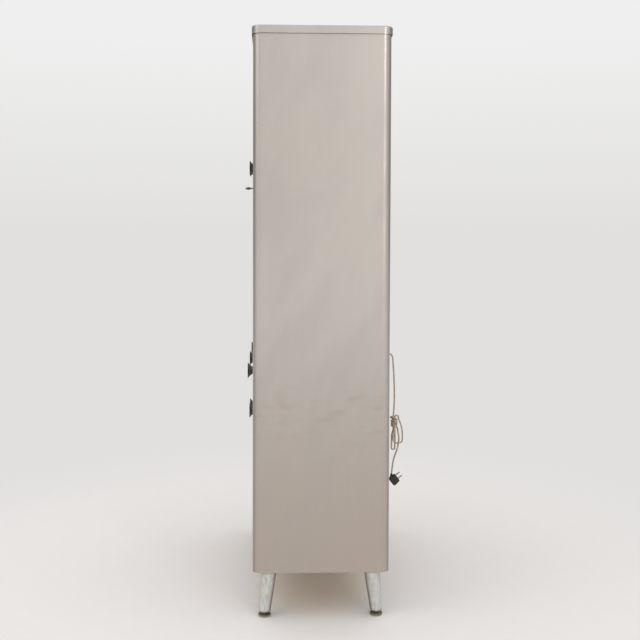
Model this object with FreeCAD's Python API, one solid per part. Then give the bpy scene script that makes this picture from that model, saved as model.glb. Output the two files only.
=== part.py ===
"""Free-standing display cabinet in brushed sheet steel on four splayed legs.

Two glazed doors over three drawers over two steel doors, with a lamp under the ceiling and its cord at
the back. Millimetres, +Z up. The front faces -Y and the right-hand side is +X. The origin is on the floor,
midway between the two sides, and midway between the tip of the key in front and the end of the cord's
strain relief behind.
"""
import FreeCAD
import Part
import math
import os
from FreeCAD import Vector

os.makedirs("parts", exist_ok=True)

# Overall size
overall_width = 840.0
overall_depth = 404.0
overall_height = 1740.0
leg_height = 140.0

# What stands out in front and behind
key_reach = 33.0
relief_reach = 6.6

# Sheet metal
sheet = 1.2
back_sheet = 1.0
corner_radius = 24.0
fold_radius = 0.8
stile_width = 26.0
stile_return = 14.0
back_flange_width = 50.0
seat_gap = 0.3
edge_tolerance = 1e-3

# Lid
cap_height = 24.0
cap_overhang = 4.0
cap_edge_radius = 5.0

# Front openings, from the bottom up
bottom_rail_height = 28.0
lower_door_height = 464.0
lower_rail_height = 20.0
drawer_front_height = 112.0
upper_rail_height = 26.0
top_rail_height = 26.0
rail_depth = 16.0
front_gap = 2.0
leaf_gap = 3.0
drawer_gap = 3.0
front_thickness = 18.0

# Decks: how far each pan's flange turns down or up
floor_flange = 20.0
deck_flange = 14.0
display_flange = 20.0
ceiling_flange = 24.0
pan_front_corner = 12.0
pan_back_corner = 25.0

# Door leaves
hinge_edge_radius = 6.0
free_edge_radius = 2.5
door_edge_radius = 1.0
meeting_stile_width = 66.0
hinge_stile_width = 50.0
door_rail_width = 56.0
window_radius = 8.0
glazing_rebate = 6.0
glazing_lap = 8.0
door_glass = 4.0

# Pivot hinges
pin_radius = 2.5
pin_head_radius = 4.0
pin_head_height = 3.0
pin_collar_radius = 4.0
pin_length = 10.0
pin_tip_height = 1.0
pin_tip_radius = 1.9
running_gap = 0.05
thrust_gap = 0.3
bush_radius = 4.5
bush_length = 12.0

# Knobs
knob_radius = 24.0
knob_depth = 18.0
knob_foot_radius = 10.0
knob_waist_radius = 14.6
knob_waist_height = 8.46
knob_rim = 0.8
knob_dish = 1.2
knob_stud_radius = 2.5
knob_stud_length = 9.0
door_knob_offset = 43.0
upper_knob_height = 1352.0
lower_knob_height = 546.0

# Lock
lock_height = 1284.0
lock_body_radius = 9.0
lock_collar_radius = 11.5
lock_collar_height = 2.0
lock_collar_edge = 1.0
lock_nut_radius = 12.5
lock_nut_height = 3.0
lock_plug_radius = 6.0
cam_width = 12.0
cam_thickness = 2.0
cam_reach = 12.0
cam_corner_radius = 2.0
half_round_margin = 0.1
key_bow_radius = 10.5
key_bow_thickness = 9.2
key_bow_rim = 1.2
key_shank_radius = 2.0
key_hole_radius = 2.2

# Legs and levelling feet
leg_inset = 48.0
leg_splay = 12.5
leg_end_height = 15.0
leg_top_radius = 25.2
leg_end_radius = 17.9
leg_edge_radius = 1.5
leg_seat = 2.0
bracket_sheet = 3.0
bracket_web = 27.0
bracket_flange = 40.0
bracket_length = 52.0
stud_radius = 5.0
stud_length = 24.0
stud_nut_radius = 8.5
foot_radius = 18.5
foot_thickness = 7.0
foot_edge = 1.0
foot_nut_radius = 9.0
foot_stem_radius = 5.0
foot_stem_length = 36.0

# Drawers
drawer_sheet = 1.0
drawer_side_gap = 6.0
drawer_box_height = 88.0
drawer_box_lift = 8.0
drawer_box_depth = 345.0
drawer_box_corner = 3.0
drawer_lip = 14.0
partition_flange = 8.0
runner_sheet = 1.2
runner_height = 26.0
runner_lap = 8.0
bay_back_gap = 20.0

# Shelves and their supports
standard_width = 16.0
standard_depth = 6.0
standard_spread = 120.0
first_slot = 40.0
slot_pitch = 40.0
slot_width = 5.0
slot_height = 10.0
shelf_slots = (5, 10, 15)
clip_sheet = 1.5
clip_width = 10.0
clip_reach = 16.0
clip_drop = 14.0
clip_below_slot = 1.0
clip_hook = 4.0
clip_hook_lift = 2.0
shelf_glass = 6.0
shelf_end_gap = 3.8
shelf_front_gap = 24.0
shelf_edge_radius = 1.0
cupboard_shelf_height = 420.0
cupboard_shelf_flange = 18.0
cupboard_shelf_gap = 1.6
cupboard_shelf_front_corner = 3.0
angle_leg = 18.0
angle_length = 300.0

# Catches
catch_width = 40.0
catch_depth = 12.0
catch_height = 18.0
catch_offset = 60.0

# Lamp under the ceiling
lamp_housing_length = 650.0
lamp_housing_width = 44.0
lamp_housing_height = 22.0
lamp_setback = 38.0
lamp_edge_radius = 3.0
lamp_tube_radius = 8.0
lamp_tube_length = 549.0
lamp_cap_length = 12.0
lamp_cap_edge = 0.6
lamp_cap_wall = 0.5
lamp_holder_length = 12.0
lamp_holder_width = 26.0
lamp_drop = 18.0
rocker_radius = 9.2
rocker_width = 10.0
rocker_gap = 0.3
rocker_tilt = 10.0
rocker_proud = 2.2
rocker_depth = 1.4
rocker_pivot_radius = 1.0
rocker_pivot_length = 1.2
rocker_pivot_bore = 2.0
rocker_trim = 1.0

# Cable duct and cord outlet
duct_width = 16.0
duct_depth = 16.0
duct_ceiling_depth = 12.0
duct_sheet = 1.0
duct_end_drop = 16.0
cord_from_side = 125.0
cord_exit_height = 768.5
relief_flange_radius = 8.0
relief_flange_height = 2.5
relief_sleeve_radius = 6.6
relief_neck_radius = 5.45
relief_collar_height = 2.0
relief_inner_radius = 4.0
relief_end_radius = 3.6
relief_hole_radius = 5.5

# Cord, in the upright plane through its outlet; the hank's own sizes follow
cord_diameter = 4.8
cord_gap = 0.45
bend_share = 0.45
free_route = (
    (229.6, 768.5), (235.8, 764.2), (238.2, 756.2), (239.1, 739.7), (241.6, 707.8), (243.9, 650.0),
    (243.2, 611.0), (241.6, 586.0),
)
tail_route = (
    (253.6, 477.0), (249.4, 463.6), (244.0, 450.2), (239.8, 431.0), (237.2, 410.5), (236.0, 398.5),
)
hank_axis_y = 243.2
hank_core_top = 572.0
hank_core_bottom = 538.0
hank_wrap_radius = 8.35
hank_wrap_pitch = 5.37
hank_wrap_top = 567.2
hank_fold_radius = 5.05
hank_fold_x = -2.5
hank_fold_y = 235.6
hank_fold_z = 478.2
hank_fold_way_down = (0.6, 516.0)
hank_fold_way_up = (0.5, 505.0)
hank_crest_out = 5.2
hank_crest_lift = 6.7
wrap_first = -168
wrap_last = -1600
wrap_steps = 16
least_gap_step = 0.7

# The hank's wide loop and its way out to the tail: places, each with its heading
hank_wide_loop = (
    ((-1.3, 258.6, 564.5), (0, 0.42, -0.9)),
    ((0, 264.8, 548), (0.05, 0.26, -0.96)),
    ((2, 268.6, 520), (0.05, 0.02, -1)),
    ((3, 268.0, 503), (0.05, -0.12, -1)),
    ((4, 260.6, 495.2), (0.05, -1, -0.03)),
    ((5, 249.3, 494.6), (0.1, -1, 0.05)),
    ((6.2, 241.2, 500.5), (0.05, -0.5, 0.87)),
    ((6.4, 239.6, 514), (0, 0.1, 1)),
    ((5.4, 242.4, 530), (-0.12, 0.12, 1)),
)
hank_way_out = (
    ((-7.0, 256.9, 521), (0.05, 0.22, -0.97)),
    ((-6, 259.0, 506.5), (0.08, -0.02, -1)),
    ((-3.5, 257.0, 491.5), (0.12, -0.2, -0.98)),
)

# Plug
plug_centre_y = 243.6
plug_centre_z = 379.7
plug_tilt = 37.0
plug_thickness = 16.0
plug_edge_radius = 2.5
plug_front_corner = 4.0
plug_back_corner = 6.0
plug_face = 13.0
plug_outline = ((-12.0, -13.0), (plug_face, -13.0), (plug_face, 12.0), (-11.0, 16.0))
boot_radius = 4.6
boot_end_radius = 3.2
boot_depth = 14.0
blade_length = 15.0
blade_width = 6.3
blade_thickness = 1.5
blade_pitch = 12.7
blade_offset = -2.1
blade_corner_radius = 0.6

# Places worked out from the sizes
right_x = overall_width / 2
cord_x = right_x - cord_from_side
opening_x = right_x - stile_width
inside_x = right_x - sheet
front_y = (key_reach - relief_reach) / 2 - overall_depth / 2
back_y = front_y + overall_depth
middle_y = (front_y + back_y) / 2
back_inner_y = back_y - sheet - back_sheet
rail_back_y = front_y + rail_depth
leaf_back_y = front_y + front_thickness
liner_front_y = leaf_back_y - sheet
cap_top = overall_height
cap_bottom = cap_top - cap_height
cap_underside = cap_top - sheet
carcass_top = cap_underside - seat_gap
bottom_rail_top = leg_height + bottom_rail_height
lower_rail_bottom = bottom_rail_top + lower_door_height + 2 * front_gap
lower_rail_top = lower_rail_bottom + lower_rail_height
upper_rail_bottom = lower_rail_top + drawer_front_height + 2 * front_gap
upper_rail_top = upper_rail_bottom + upper_rail_height
top_rail_bottom = cap_bottom - top_rail_height
upper_door_bottom = upper_rail_top + front_gap
upper_door_top = top_rail_bottom - front_gap
lower_door_bottom = bottom_rail_top + front_gap
lower_door_top = lower_rail_bottom - front_gap
leaf_edge_x = opening_x - front_gap
leaf_free_x = leaf_gap / 2
pivot_x = leaf_edge_x - hinge_edge_radius
pivot_y = front_y + hinge_edge_radius
leg_top_x = right_x - leg_inset
leg_top_y = overall_depth / 2 - leg_inset
leg_top_z = leg_height + leg_seat
floor_underside = bottom_rail_top - sheet
drawer_front_width = (2 * opening_x - 2 * front_gap - 2 * drawer_gap) / 3
drawer_pitch = drawer_front_width + drawer_gap
drawer_half_width = (drawer_pitch - sheet) / 2 - drawer_side_gap
drawer_front_bottom = lower_rail_top + front_gap
drawer_front_top = drawer_front_bottom + drawer_front_height
drawer_box_bottom = lower_rail_top + drawer_box_lift
drawer_box_back = leaf_back_y + drawer_box_depth
standard_x = inside_x - standard_depth
clip_level = upper_rail_top + first_slot - slot_height / 2 - clip_below_slot
shelf_levels = [clip_level + slot_pitch * n + clip_drop for n in shelf_slots]
shelf_half_width = standard_x - shelf_end_gap
duct_front_y = back_inner_y - duct_depth
relief_end_y = back_y + relief_reach
hank_core_radius = (cord_diameter + cord_gap) / math.sqrt(3)
lamp_y = leaf_back_y + lamp_setback
lamp_bottom = top_rail_bottom - lamp_housing_height
lamp_axis_z = lamp_bottom - lamp_drop
rocker_x = lamp_housing_length / 2 - lamp_housing_width / 2
rocker_pivot_z = lamp_bottom + rocker_depth


def save(name, *solids):
    """Writes one piece, or a group of like pieces, as one file."""
    for solid in solids:
        assert solid.isValid() and solid.Volume > 0, name
    shape = solids[0] if len(solids) == 1 else Part.makeCompound(list(solids))
    shape.exportStep(f"parts/{name}.step")
    print(f"{name:28s} {len(shape.Solids):3d} solids {shape.Volume / 1000:10.2f} cm3")


def box(x0, x1, y0, y1, z0, z1):
    return Part.makeBox(x1 - x0, y1 - y0, z1 - z0, Vector(x0, y0, z0))


def rod(radius, start, end):
    """A round bar from one point to another."""
    line = end - start
    return Part.makeCylinder(radius, line.Length, start, line)


def in_plan(z):
    return lambda point: Vector(point.x, point.y, z)


def in_side(x):
    return lambda point: Vector(x, point.x, point.y)


def in_front(y):
    return lambda point: Vector(point.x, y, point.y)


def rounded_edges(points, radii, place):
    """Lines and arcs along an open run of flat points, with each inner point rounded to its radius."""
    edges = []
    start = points[0]
    for before, corner, after, radius in zip(points, points[1:], points[2:], radii):
        back = (before - corner).normalize()
        ahead = (after - corner).normalize()
        end = corner
        if radius > 0:
            half = back.getAngle(ahead) / 2
            inward = (back + ahead).normalize()
            end = corner + back * (radius / math.tan(half))
            leave = corner + ahead * (radius / math.tan(half))
            crown = corner + inward * (radius / math.sin(half) - radius)
        if (end - start).Length > 1e-6:
            edges.append(Part.LineSegment(place(start), place(end)).toShape())
        start = end
        if radius > 0:
            edges.append(Part.Arc(place(end), place(crown), place(leave)).toShape())
            start = leave
    if (points[-1] - start).Length > 1e-6:
        edges.append(Part.LineSegment(place(start), place(points[-1])).toShape())
    return edges


def prism(points, radii, place, travel):
    """A closed outline, rounded at each corner, swept straight along travel."""
    corners = [Vector(*point, 0) for point in points]
    middle = (corners[0] + corners[-1]) / 2
    edges = rounded_edges([middle] + corners + [middle], radii, place)
    return Part.Face(Part.Wire(edges)).extrude(travel)


def rounded_block(x0, x1, y0, y1, z0, z1, radii):
    """An upright block; radii are for its front left, front right, back right and back left edges."""
    corners = ((x0, y0), (x1, y0), (x1, y1), (x0, y1))
    return prism(corners, radii, in_plan(z0), Vector(0, 0, z1 - z0))


def folded_sheet(points, inside_radii, thickness, place, travel):
    """Sheet metal folded along a run of flat points, its thickness on the left of the run."""
    line = [Vector(*point, 0) for point in points]
    headings = [(b - a).normalize() for a, b in zip(line, line[1:])]
    lefts = [Vector(-heading.y, heading.x, 0) for heading in headings]
    other = [line[0] + lefts[0] * thickness]
    own_radii = []
    other_radii = []
    for point, left, next_left, heading, next_heading, radius in zip(
        line[1:], lefts, lefts[1:], headings, headings[1:], inside_radii
    ):
        other.append(point + (left + next_left) * (thickness / (1 + left.dot(next_left))))
        turns_left = heading.x * next_heading.y - heading.y * next_heading.x > 0
        own_radii.append(radius + thickness if turns_left else radius)
        other_radii.append(radius if turns_left else radius + thickness)
    other.append(line[-1] + lefts[-1] * thickness)
    edges = rounded_edges(line, own_radii, place)
    edges.append(Part.LineSegment(place(line[-1]), place(other[-1])).toShape())
    edges += rounded_edges(other[::-1], other_radii[::-1], place)
    edges.append(Part.LineSegment(place(other[0]), place(line[0])).toShape())
    return Part.Face(Part.Wire(edges)).extrude(travel)


def turned(profile, centre, axis):
    """A turned piece: profile is (radius, distance along axis) from centre, arcs as three-point tuples."""
    edges = []
    first = Vector(profile[0][0], 0, profile[0][1])
    start = first
    for step in profile[1:]:
        end = Vector(step[-2], 0, step[-1])
        if len(step) == 4:
            edges.append(Part.Arc(start, Vector(step[0], 0, step[1]), end).toShape())
        else:
            edges.append(Part.LineSegment(start, end).toShape())
        start = end
    edges.append(Part.LineSegment(start, first).toShape())
    solid = Part.Face(Part.Wire(edges)).revolve(Vector(0, 0, 0), Vector(0, 0, 1), 360)
    solid = Part.Solid(solid) if solid.ShapeType == "Shell" else solid
    solid.Placement = FreeCAD.Placement(centre, FreeCAD.Rotation(Vector(0, 0, 1), axis))
    return solid


def dome(radius, height, distance):
    """How far a spherical dome stands above its edge, at a distance from its axis."""
    curve = (radius ** 2 + height ** 2) / (2 * height)
    return math.sqrt(curve ** 2 - distance ** 2) - (curve - height)


def mirrored(shape):
    """The left-hand twin of a right-hand piece."""
    return shape.mirror(Vector(0, 0, 0), Vector(1, 0, 0))


def side_panel():
    """The right side, wrapped round both corners, with the stile's return in front."""
    points = (
        (opening_x, front_y + stile_return),
        (opening_x, front_y),
        (right_x, front_y),
        (right_x, back_y),
        (right_x - back_flange_width, back_y),
    )
    radii = (fold_radius, corner_radius - sheet, corner_radius - sheet)
    return folded_sheet(points, radii, sheet, in_plan(leg_height), Vector(0, 0, carcass_top - leg_height))


def top_cap():
    """The lid: a drawn tray with a soft top edge, open below."""
    radius = corner_radius + cap_overhang
    outer = rounded_block(
        -right_x - cap_overhang, right_x + cap_overhang, front_y - cap_overhang, back_y + cap_overhang,
        cap_bottom, cap_top, [radius] * 4,
    )
    reach = cap_overhang - sheet
    inner = rounded_block(
        -right_x - reach, right_x + reach, front_y - reach, back_y + reach,
        cap_bottom, cap_underside, [radius - sheet] * 4,
    )
    outer = outer.makeFillet(cap_edge_radius, top_edges(outer, cap_top))
    inner = inner.makeFillet(cap_edge_radius - sheet, top_edges(inner, cap_underside))
    return outer.cut(inner)


def top_edges(shape, z):
    """The edges that lie level at one height."""
    return [edge for edge in shape.Edges
            if abs(edge.BoundBox.ZMin - z) < edge_tolerance and abs(edge.BoundBox.ZMax - z) < edge_tolerance]


def front_edges(shape):
    """The straight level edges along a leaf's or a drawer's front."""
    return [edge for edge in shape.Edges
            if edge.BoundBox.ZLength < edge_tolerance and edge.BoundBox.YLength < edge_tolerance
            and edge.BoundBox.YMin < front_y + edge_tolerance]


def front_rail(bottom, top, pin_levels):
    """A channel between the stiles, open to the back, drilled for the pivot pins."""
    points = ((rail_back_y, top), (front_y, top), (front_y, bottom), (rail_back_y, bottom))
    rail = folded_sheet(points, [fold_radius] * 2, sheet, in_side(-opening_x), Vector(2 * opening_x, 0, 0))
    for level in pin_levels:
        for x in (-pivot_x, pivot_x):
            hole = rod(pin_radius + running_gap, Vector(x, pivot_y, level - 2 * sheet),
                       Vector(x, pivot_y, level + 2 * sheet))
            rail = rail.cut(hole)
    return rail


def deck(surface, flange, flange_sign):
    """A floor or ceiling: flat sheet with a flange all round, turned down (-1) or up (+1)."""
    radii = [pan_front_corner] * 2 + [pan_back_corner] * 2
    inner_radii = [radius - sheet for radius in radii]
    low, high = (surface - flange, surface) if flange_sign < 0 else (surface, surface + flange)
    hollow_low, hollow_high = (low, high - sheet) if flange_sign < 0 else (low + sheet, high)
    outer = rounded_block(-inside_x, inside_x, rail_back_y, back_inner_y, low, high, radii)
    hollow = rounded_block(
        -inside_x + sheet, inside_x - sheet, rail_back_y + sheet, back_inner_y - sheet,
        hollow_low, hollow_high, inner_radii,
    )
    return outer.cut(hollow)


def display_floor():
    """The display compartment's floor, notched at the back where the cable duct comes down."""
    notch = box(
        cord_x - duct_width / 2 - seat_gap, cord_x + duct_width / 2 + seat_gap,
        duct_front_y - seat_gap, back_y, upper_rail_top - display_flange - sheet, upper_rail_top + sheet,
    )
    return deck(upper_rail_top, display_flange, -1).cut(notch)


def back_panel():
    edge = right_x - corner_radius - seat_gap
    panel = box(-edge, edge, back_inner_y, back_inner_y + back_sheet, leg_height + front_gap, carcass_top)
    hole = rod(relief_hole_radius, Vector(cord_x, back_inner_y - sheet, cord_exit_height),
               Vector(cord_x, back_y, cord_exit_height))
    return panel.cut(hole)


def leg_place(side, end):
    """Centres of a leg's two ends; side is -1 or +1 for left or right, end for front or back."""
    top = Vector(side * leg_top_x, middle_y + end * leg_top_y, leg_top_z)
    return top, Vector(top.x + side * leg_splay, top.y + end * leg_splay, leg_end_height)


def leg(side, end):
    """A splayed cone with level ends, bored above for its stud and below for the foot's stem."""
    top, low = leg_place(side, end)
    circles = [Part.Wire(Part.makeCircle(radius, point, Vector(0, 0, 1)))
               for radius, point in ((leg_top_radius, top), (leg_end_radius, low))]
    cone = Part.makeLoft(circles, True, True)
    cone = cone.makeFillet(leg_edge_radius, top_edges(cone, leg_end_height))
    bore_height = foot_stem_length + seat_gap
    cone = cone.cut(rod(foot_stem_radius + running_gap, low, low + Vector(0, 0, bore_height)))
    return cone.cut(rod(stud_radius + running_gap, top - Vector(0, 0, stud_length + front_gap), top))


def leg_bracket(side, end):
    """A hat bracket under the floor, with the stud that holds the leg."""
    top, _ = leg_place(side, end)
    x = top.x
    web = leg_top_z + bracket_sheet
    points = (
        (x + bracket_flange, floor_underside),
        (x + bracket_web, floor_underside),
        (x + bracket_web, web),
        (x - bracket_web, web),
        (x - bracket_web, floor_underside),
        (x - bracket_flange, floor_underside),
    )
    hat = folded_sheet(points, [fold_radius] * 4, bracket_sheet, in_front(top.y - bracket_length / 2),
                       Vector(0, bracket_length, 0))
    nut = prism(hexagon(top.x, top.y, stud_nut_radius), [0] * 6, in_plan(web), Vector(0, 0, stud_radius))
    stud = rod(stud_radius, top - Vector(0, 0, stud_length), top + Vector(0, 0, bracket_sheet))
    return hat.fuse([nut, stud]).removeSplitter()


def hexagon(x, y, radius):
    return [(x + radius * math.cos(math.radians(60 * n)), y + radius * math.sin(math.radians(60 * n)))
            for n in range(6)]


def foot(side, end):
    """A levelling foot: disc, spanner flats and stem in one piece."""
    _, low = leg_place(side, end)
    floor = Vector(low.x, low.y, 0)
    shoulder = foot_thickness + foot_edge
    profile = (
        (0, 0), (foot_radius - foot_edge, 0), (foot_radius, foot_edge),
        (foot_radius, foot_thickness - foot_edge), (foot_radius - foot_edge, foot_thickness),
        (foot_nut_radius, shoulder), (0, shoulder),
    )
    disc = turned(profile, floor, Vector(0, 0, 1))
    nut_height = leg_end_height - seat_gap - shoulder
    corners = hexagon(low.x, low.y, foot_nut_radius)
    flats = prism(corners, [0] * 6, in_plan(shoulder), Vector(0, 0, nut_height))
    stem = rod(foot_stem_radius, floor + Vector(0, 0, shoulder), low + Vector(0, 0, foot_stem_length))
    return disc.fuse([flats, stem]).removeSplitter()


def pivot_pin(level, sign):
    """A pin through a rail's flange at level; sign is +1 where it points up into a door, -1 where down."""
    length = front_gap + pin_length
    collar = front_gap - thrust_gap
    profile = (
        (0, -sheet - pin_head_height), (pin_head_radius, -sheet - pin_head_height), (pin_head_radius, -sheet),
        (pin_radius, -sheet), (pin_radius, 0), (pin_collar_radius, 0), (pin_collar_radius, collar),
        (pin_radius, collar), (pin_radius, length - pin_tip_height), (pin_tip_radius, length), (0, length),
    )
    return [turned(profile, Vector(x, pivot_y, level), Vector(0, 0, sign)) for x in (-pivot_x, pivot_x)]


def leaf_shell(bottom, top, inset, back):
    """The right-hand leaf's outline, shrunk by inset on its front, sides and ends, as far back as back."""
    return rounded_block(
        leaf_free_x + inset, leaf_edge_x - inset, front_y + inset, back, bottom + inset, top - inset,
        [free_edge_radius - inset, hinge_edge_radius - inset, 0, 0],
    )


def door_pan(bottom, top, knob_height):
    """The right-hand leaf's outer pan with its two pivot bushes, open at the back."""
    outer = leaf_shell(bottom, top, 0, liner_front_y)
    outer = outer.makeFillet(door_edge_radius, front_edges(outer))
    pan = outer.cut(leaf_shell(bottom, top, sheet, liner_front_y))
    for end, sign in ((bottom, 1), (top, -1)):
        axis = Vector(0, 0, sign)
        mouth = Vector(pivot_x, pivot_y, end)
        pan = pan.fuse(rod(bush_radius, mouth, mouth + axis * bush_length))
        bore_end = mouth + axis * (pin_length + sheet)
        pan = pan.cut(rod(pin_radius + running_gap, mouth - axis * sheet, bore_end))
    return pan.cut(stud_hole(door_knob_offset, knob_height))


def stud_hole(x, z):
    """The hole that a knob's stud passes through in a front skin."""
    radius = knob_stud_radius + running_gap
    return rod(radius, Vector(x, front_y - sheet, z), Vector(x, front_y + 2 * sheet, z))


def window(grow, y0, y1):
    """The upper right-hand leaf's window, grown by grow all round, between two depths."""
    x0 = leaf_free_x + meeting_stile_width - grow
    x1 = leaf_edge_x - hinge_stile_width + grow
    z0 = upper_door_bottom + door_rail_width - grow
    z1 = upper_door_top - door_rail_width + grow
    corners = ((x0, z0), (x1, z0), (x1, z1), (x0, z1))
    return prism(corners, [window_radius + grow] * 4, in_front(y0), Vector(0, y1 - y0, 0))


def upper_door_frame():
    """The glazed leaf's outer frame, its front turned in round the window as far as the glass."""
    pan = door_pan(upper_door_bottom, upper_door_top, upper_knob_height)
    turn_in = window(sheet, front_y, front_y + glazing_rebate)
    frame = pan.fuse(turn_in).cut(window(0, front_y - sheet, liner_front_y))
    lock_hole = rod(lock_body_radius + running_gap, Vector(door_knob_offset, front_y - sheet, lock_height),
                    Vector(door_knob_offset, leaf_back_y, lock_height))
    return frame.removeSplitter(), frame.cut(lock_hole).removeSplitter()


def upper_door_liner():
    """The glazed leaf's back frame, turned forward round the window to hold the glass."""
    plate = box(leaf_free_x, leaf_edge_x, liner_front_y, leaf_back_y, upper_door_bottom, upper_door_top)
    turn_in = window(sheet, front_y + glazing_rebate + door_glass, liner_front_y)
    liner = plate.fuse(turn_in).cut(window(0, front_y, leaf_back_y + sheet))
    lock_hole = rod(lock_body_radius + running_gap, Vector(door_knob_offset, front_y, lock_height),
                    Vector(door_knob_offset, leaf_back_y + sheet, lock_height))
    return liner.removeSplitter(), liner.cut(lock_hole).removeSplitter()


def knob(x, z):
    """A turned knob: small foot, concave flare, sharp rim, shallow dish."""
    dish = knob_radius - 2 * knob_rim
    profile = (
        (0, -knob_stud_length), (knob_stud_radius, -knob_stud_length), (knob_stud_radius, 0),
        (knob_foot_radius, 0), (knob_waist_radius, knob_waist_height, knob_radius, knob_depth - knob_rim),
        (knob_radius, knob_depth), (dish, knob_depth),
        (dish / 2, knob_depth - dome(dish, knob_dish, dish / 2), 0, knob_depth - knob_dish),
    )
    return turned(profile, Vector(x, front_y, z), Vector(0, -1, 0))


def lock_body():
    """The lock's barrel with its collar in front and ring nut behind."""
    back = front_thickness
    profile = (
        (lock_plug_radius + running_gap, -lock_collar_height),
        (lock_collar_radius - lock_collar_edge, -lock_collar_height),
        (lock_collar_radius, lock_collar_edge - lock_collar_height),
        (lock_collar_radius, 0), (lock_body_radius, 0), (lock_body_radius, back), (lock_nut_radius, back),
        (lock_nut_radius, back + lock_nut_height), (lock_plug_radius + running_gap, back + lock_nut_height),
    )
    return turned(profile, Vector(door_knob_offset, front_y, lock_height), Vector(0, 1, 0))


def lock_plug():
    """The turning plug with its cam, which hangs down while the lock is open."""
    centre = Vector(door_knob_offset, front_y, lock_height)
    depth = front_thickness + lock_nut_height + thrust_gap
    plug = rod(lock_plug_radius, centre - Vector(0, lock_collar_height, 0), centre + Vector(0, depth, 0))
    half = cam_width / 2
    length = door_knob_offset + cam_reach
    corners = ((centre.x - half, lock_height - length), (centre.x + half, lock_height - length),
               (centre.x + half, lock_height + half), (centre.x - half, lock_height + half))
    radii = [cam_corner_radius] * 2 + [half - half_round_margin] * 2
    cam = prism(corners, radii, in_front(front_y + depth), Vector(0, cam_thickness, 0))
    return plug.fuse(cam).removeSplitter()


def lock_key():
    """The key: a shank with a thick lens-shaped bow, pierced for a ring."""
    centre = Vector(door_knob_offset, front_y - key_reach + key_bow_radius, lock_height)
    rim = key_bow_rim / 2
    half = key_bow_thickness / 2
    middle = key_bow_radius / 2
    level = rim + dome(key_bow_radius, half - rim, middle)
    profile = (
        (0, -half), (middle, -level, key_bow_radius, -rim), (key_bow_radius, rim), (middle, level, 0, half),
    )
    bow = turned(profile, centre, Vector(0, 0, 1))
    shank = rod(key_shank_radius, centre + Vector(0, key_bow_radius / 2, 0),
                Vector(centre.x, front_y - lock_collar_height, lock_height))
    ring_hole = centre - Vector(0, key_bow_radius / 2, key_bow_thickness)
    bow = bow.cut(rod(key_hole_radius, ring_hole, ring_hole + Vector(0, 0, 2 * key_bow_thickness)))
    return bow.fuse(shank).removeSplitter()


def drawer_front(x):
    """A drawer's front: a shallow pan turned in at the back."""
    half = drawer_front_width / 2
    radii = [free_edge_radius] * 2 + [0, 0]
    outer = rounded_block(
        x - half, x + half, front_y, leaf_back_y, drawer_front_bottom, drawer_front_top, radii,
    )
    outer = outer.makeFillet(door_edge_radius, front_edges(outer))
    hollow = rounded_block(
        x - half + sheet, x + half - sheet, front_y + sheet, leaf_back_y - sheet,
        drawer_front_bottom + sheet, drawer_front_top - sheet, [free_edge_radius - sheet] * 2 + [0, 0],
    )
    mouth = box(x - half + drawer_lip, x + half - drawer_lip, leaf_back_y - 2 * sheet, leaf_back_y + sheet,
                drawer_front_bottom + drawer_lip, drawer_front_top - drawer_lip)
    middle = (drawer_front_bottom + drawer_front_top) / 2
    return outer.cut(hollow).cut(mouth).cut(stud_hole(x, middle))


def drawer_box(x):
    """A drawer's box: a folded tray, open above."""
    half = drawer_half_width
    top = drawer_box_bottom + drawer_box_height
    outer = rounded_block(x - half, x + half, leaf_back_y, drawer_box_back, drawer_box_bottom, top,
                          [drawer_box_corner] * 4)
    inner = rounded_block(
        x - half + drawer_sheet, x + half - drawer_sheet,
        leaf_back_y + drawer_sheet, drawer_box_back - drawer_sheet,
        drawer_box_bottom + drawer_sheet, top, [drawer_box_corner - drawer_sheet] * 4,
    )
    return outer.cut(inner)


def runner(wall_x, inner_x):
    """An angle on the wall at wall_x, its foot under a drawer as far as inner_x, with a stop behind."""
    top = drawer_box_bottom - seat_gap
    low = top - runner_sheet
    sign = 1 if wall_x > inner_x else -1
    line = ((sign * inner_x, low), (sign * wall_x, low), (sign * wall_x, top + runner_height))
    back = drawer_box_back + 2 * runner_sheet
    start = front_y + corner_radius
    angle = folded_sheet(line, [fold_radius], runner_sheet, in_front(start), Vector(0, back - start, 0))
    stop = box(sign * inner_x, sign * wall_x - runner_sheet, drawer_box_back + seat_gap, back,
               low, top + runner_height / 2)
    angle = angle.fuse(stop).removeSplitter()
    return angle if sign > 0 else mirrored(angle)


def drawer_runners():
    reach = drawer_half_width - runner_lap
    wall = (drawer_pitch - sheet) / 2
    inner = [runner(side * wall, side * reach) for side in (-1, 1)]
    beside = [runner(side * (drawer_pitch - wall), side * (drawer_pitch - reach)) for side in (-1, 1)]
    outer = [runner(side * inside_x, side * (drawer_pitch + reach)) for side in (-1, 1)]
    return inner + beside + outer


def partition(side):
    """A sheet between two drawers, flanged above and below."""
    face = (drawer_pitch - sheet) / 2
    top = upper_rail_top - sheet
    points = ((face + partition_flange, top), (face, top), (face, lower_rail_top),
              (face + partition_flange, lower_rail_top))
    start = rail_back_y + 2 * sheet
    sheet_solid = folded_sheet(points, [fold_radius] * 2, sheet, in_front(start),
                               Vector(0, back_inner_y - bay_back_gap - start, 0))
    return sheet_solid if side > 0 else mirrored(sheet_solid)


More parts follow.
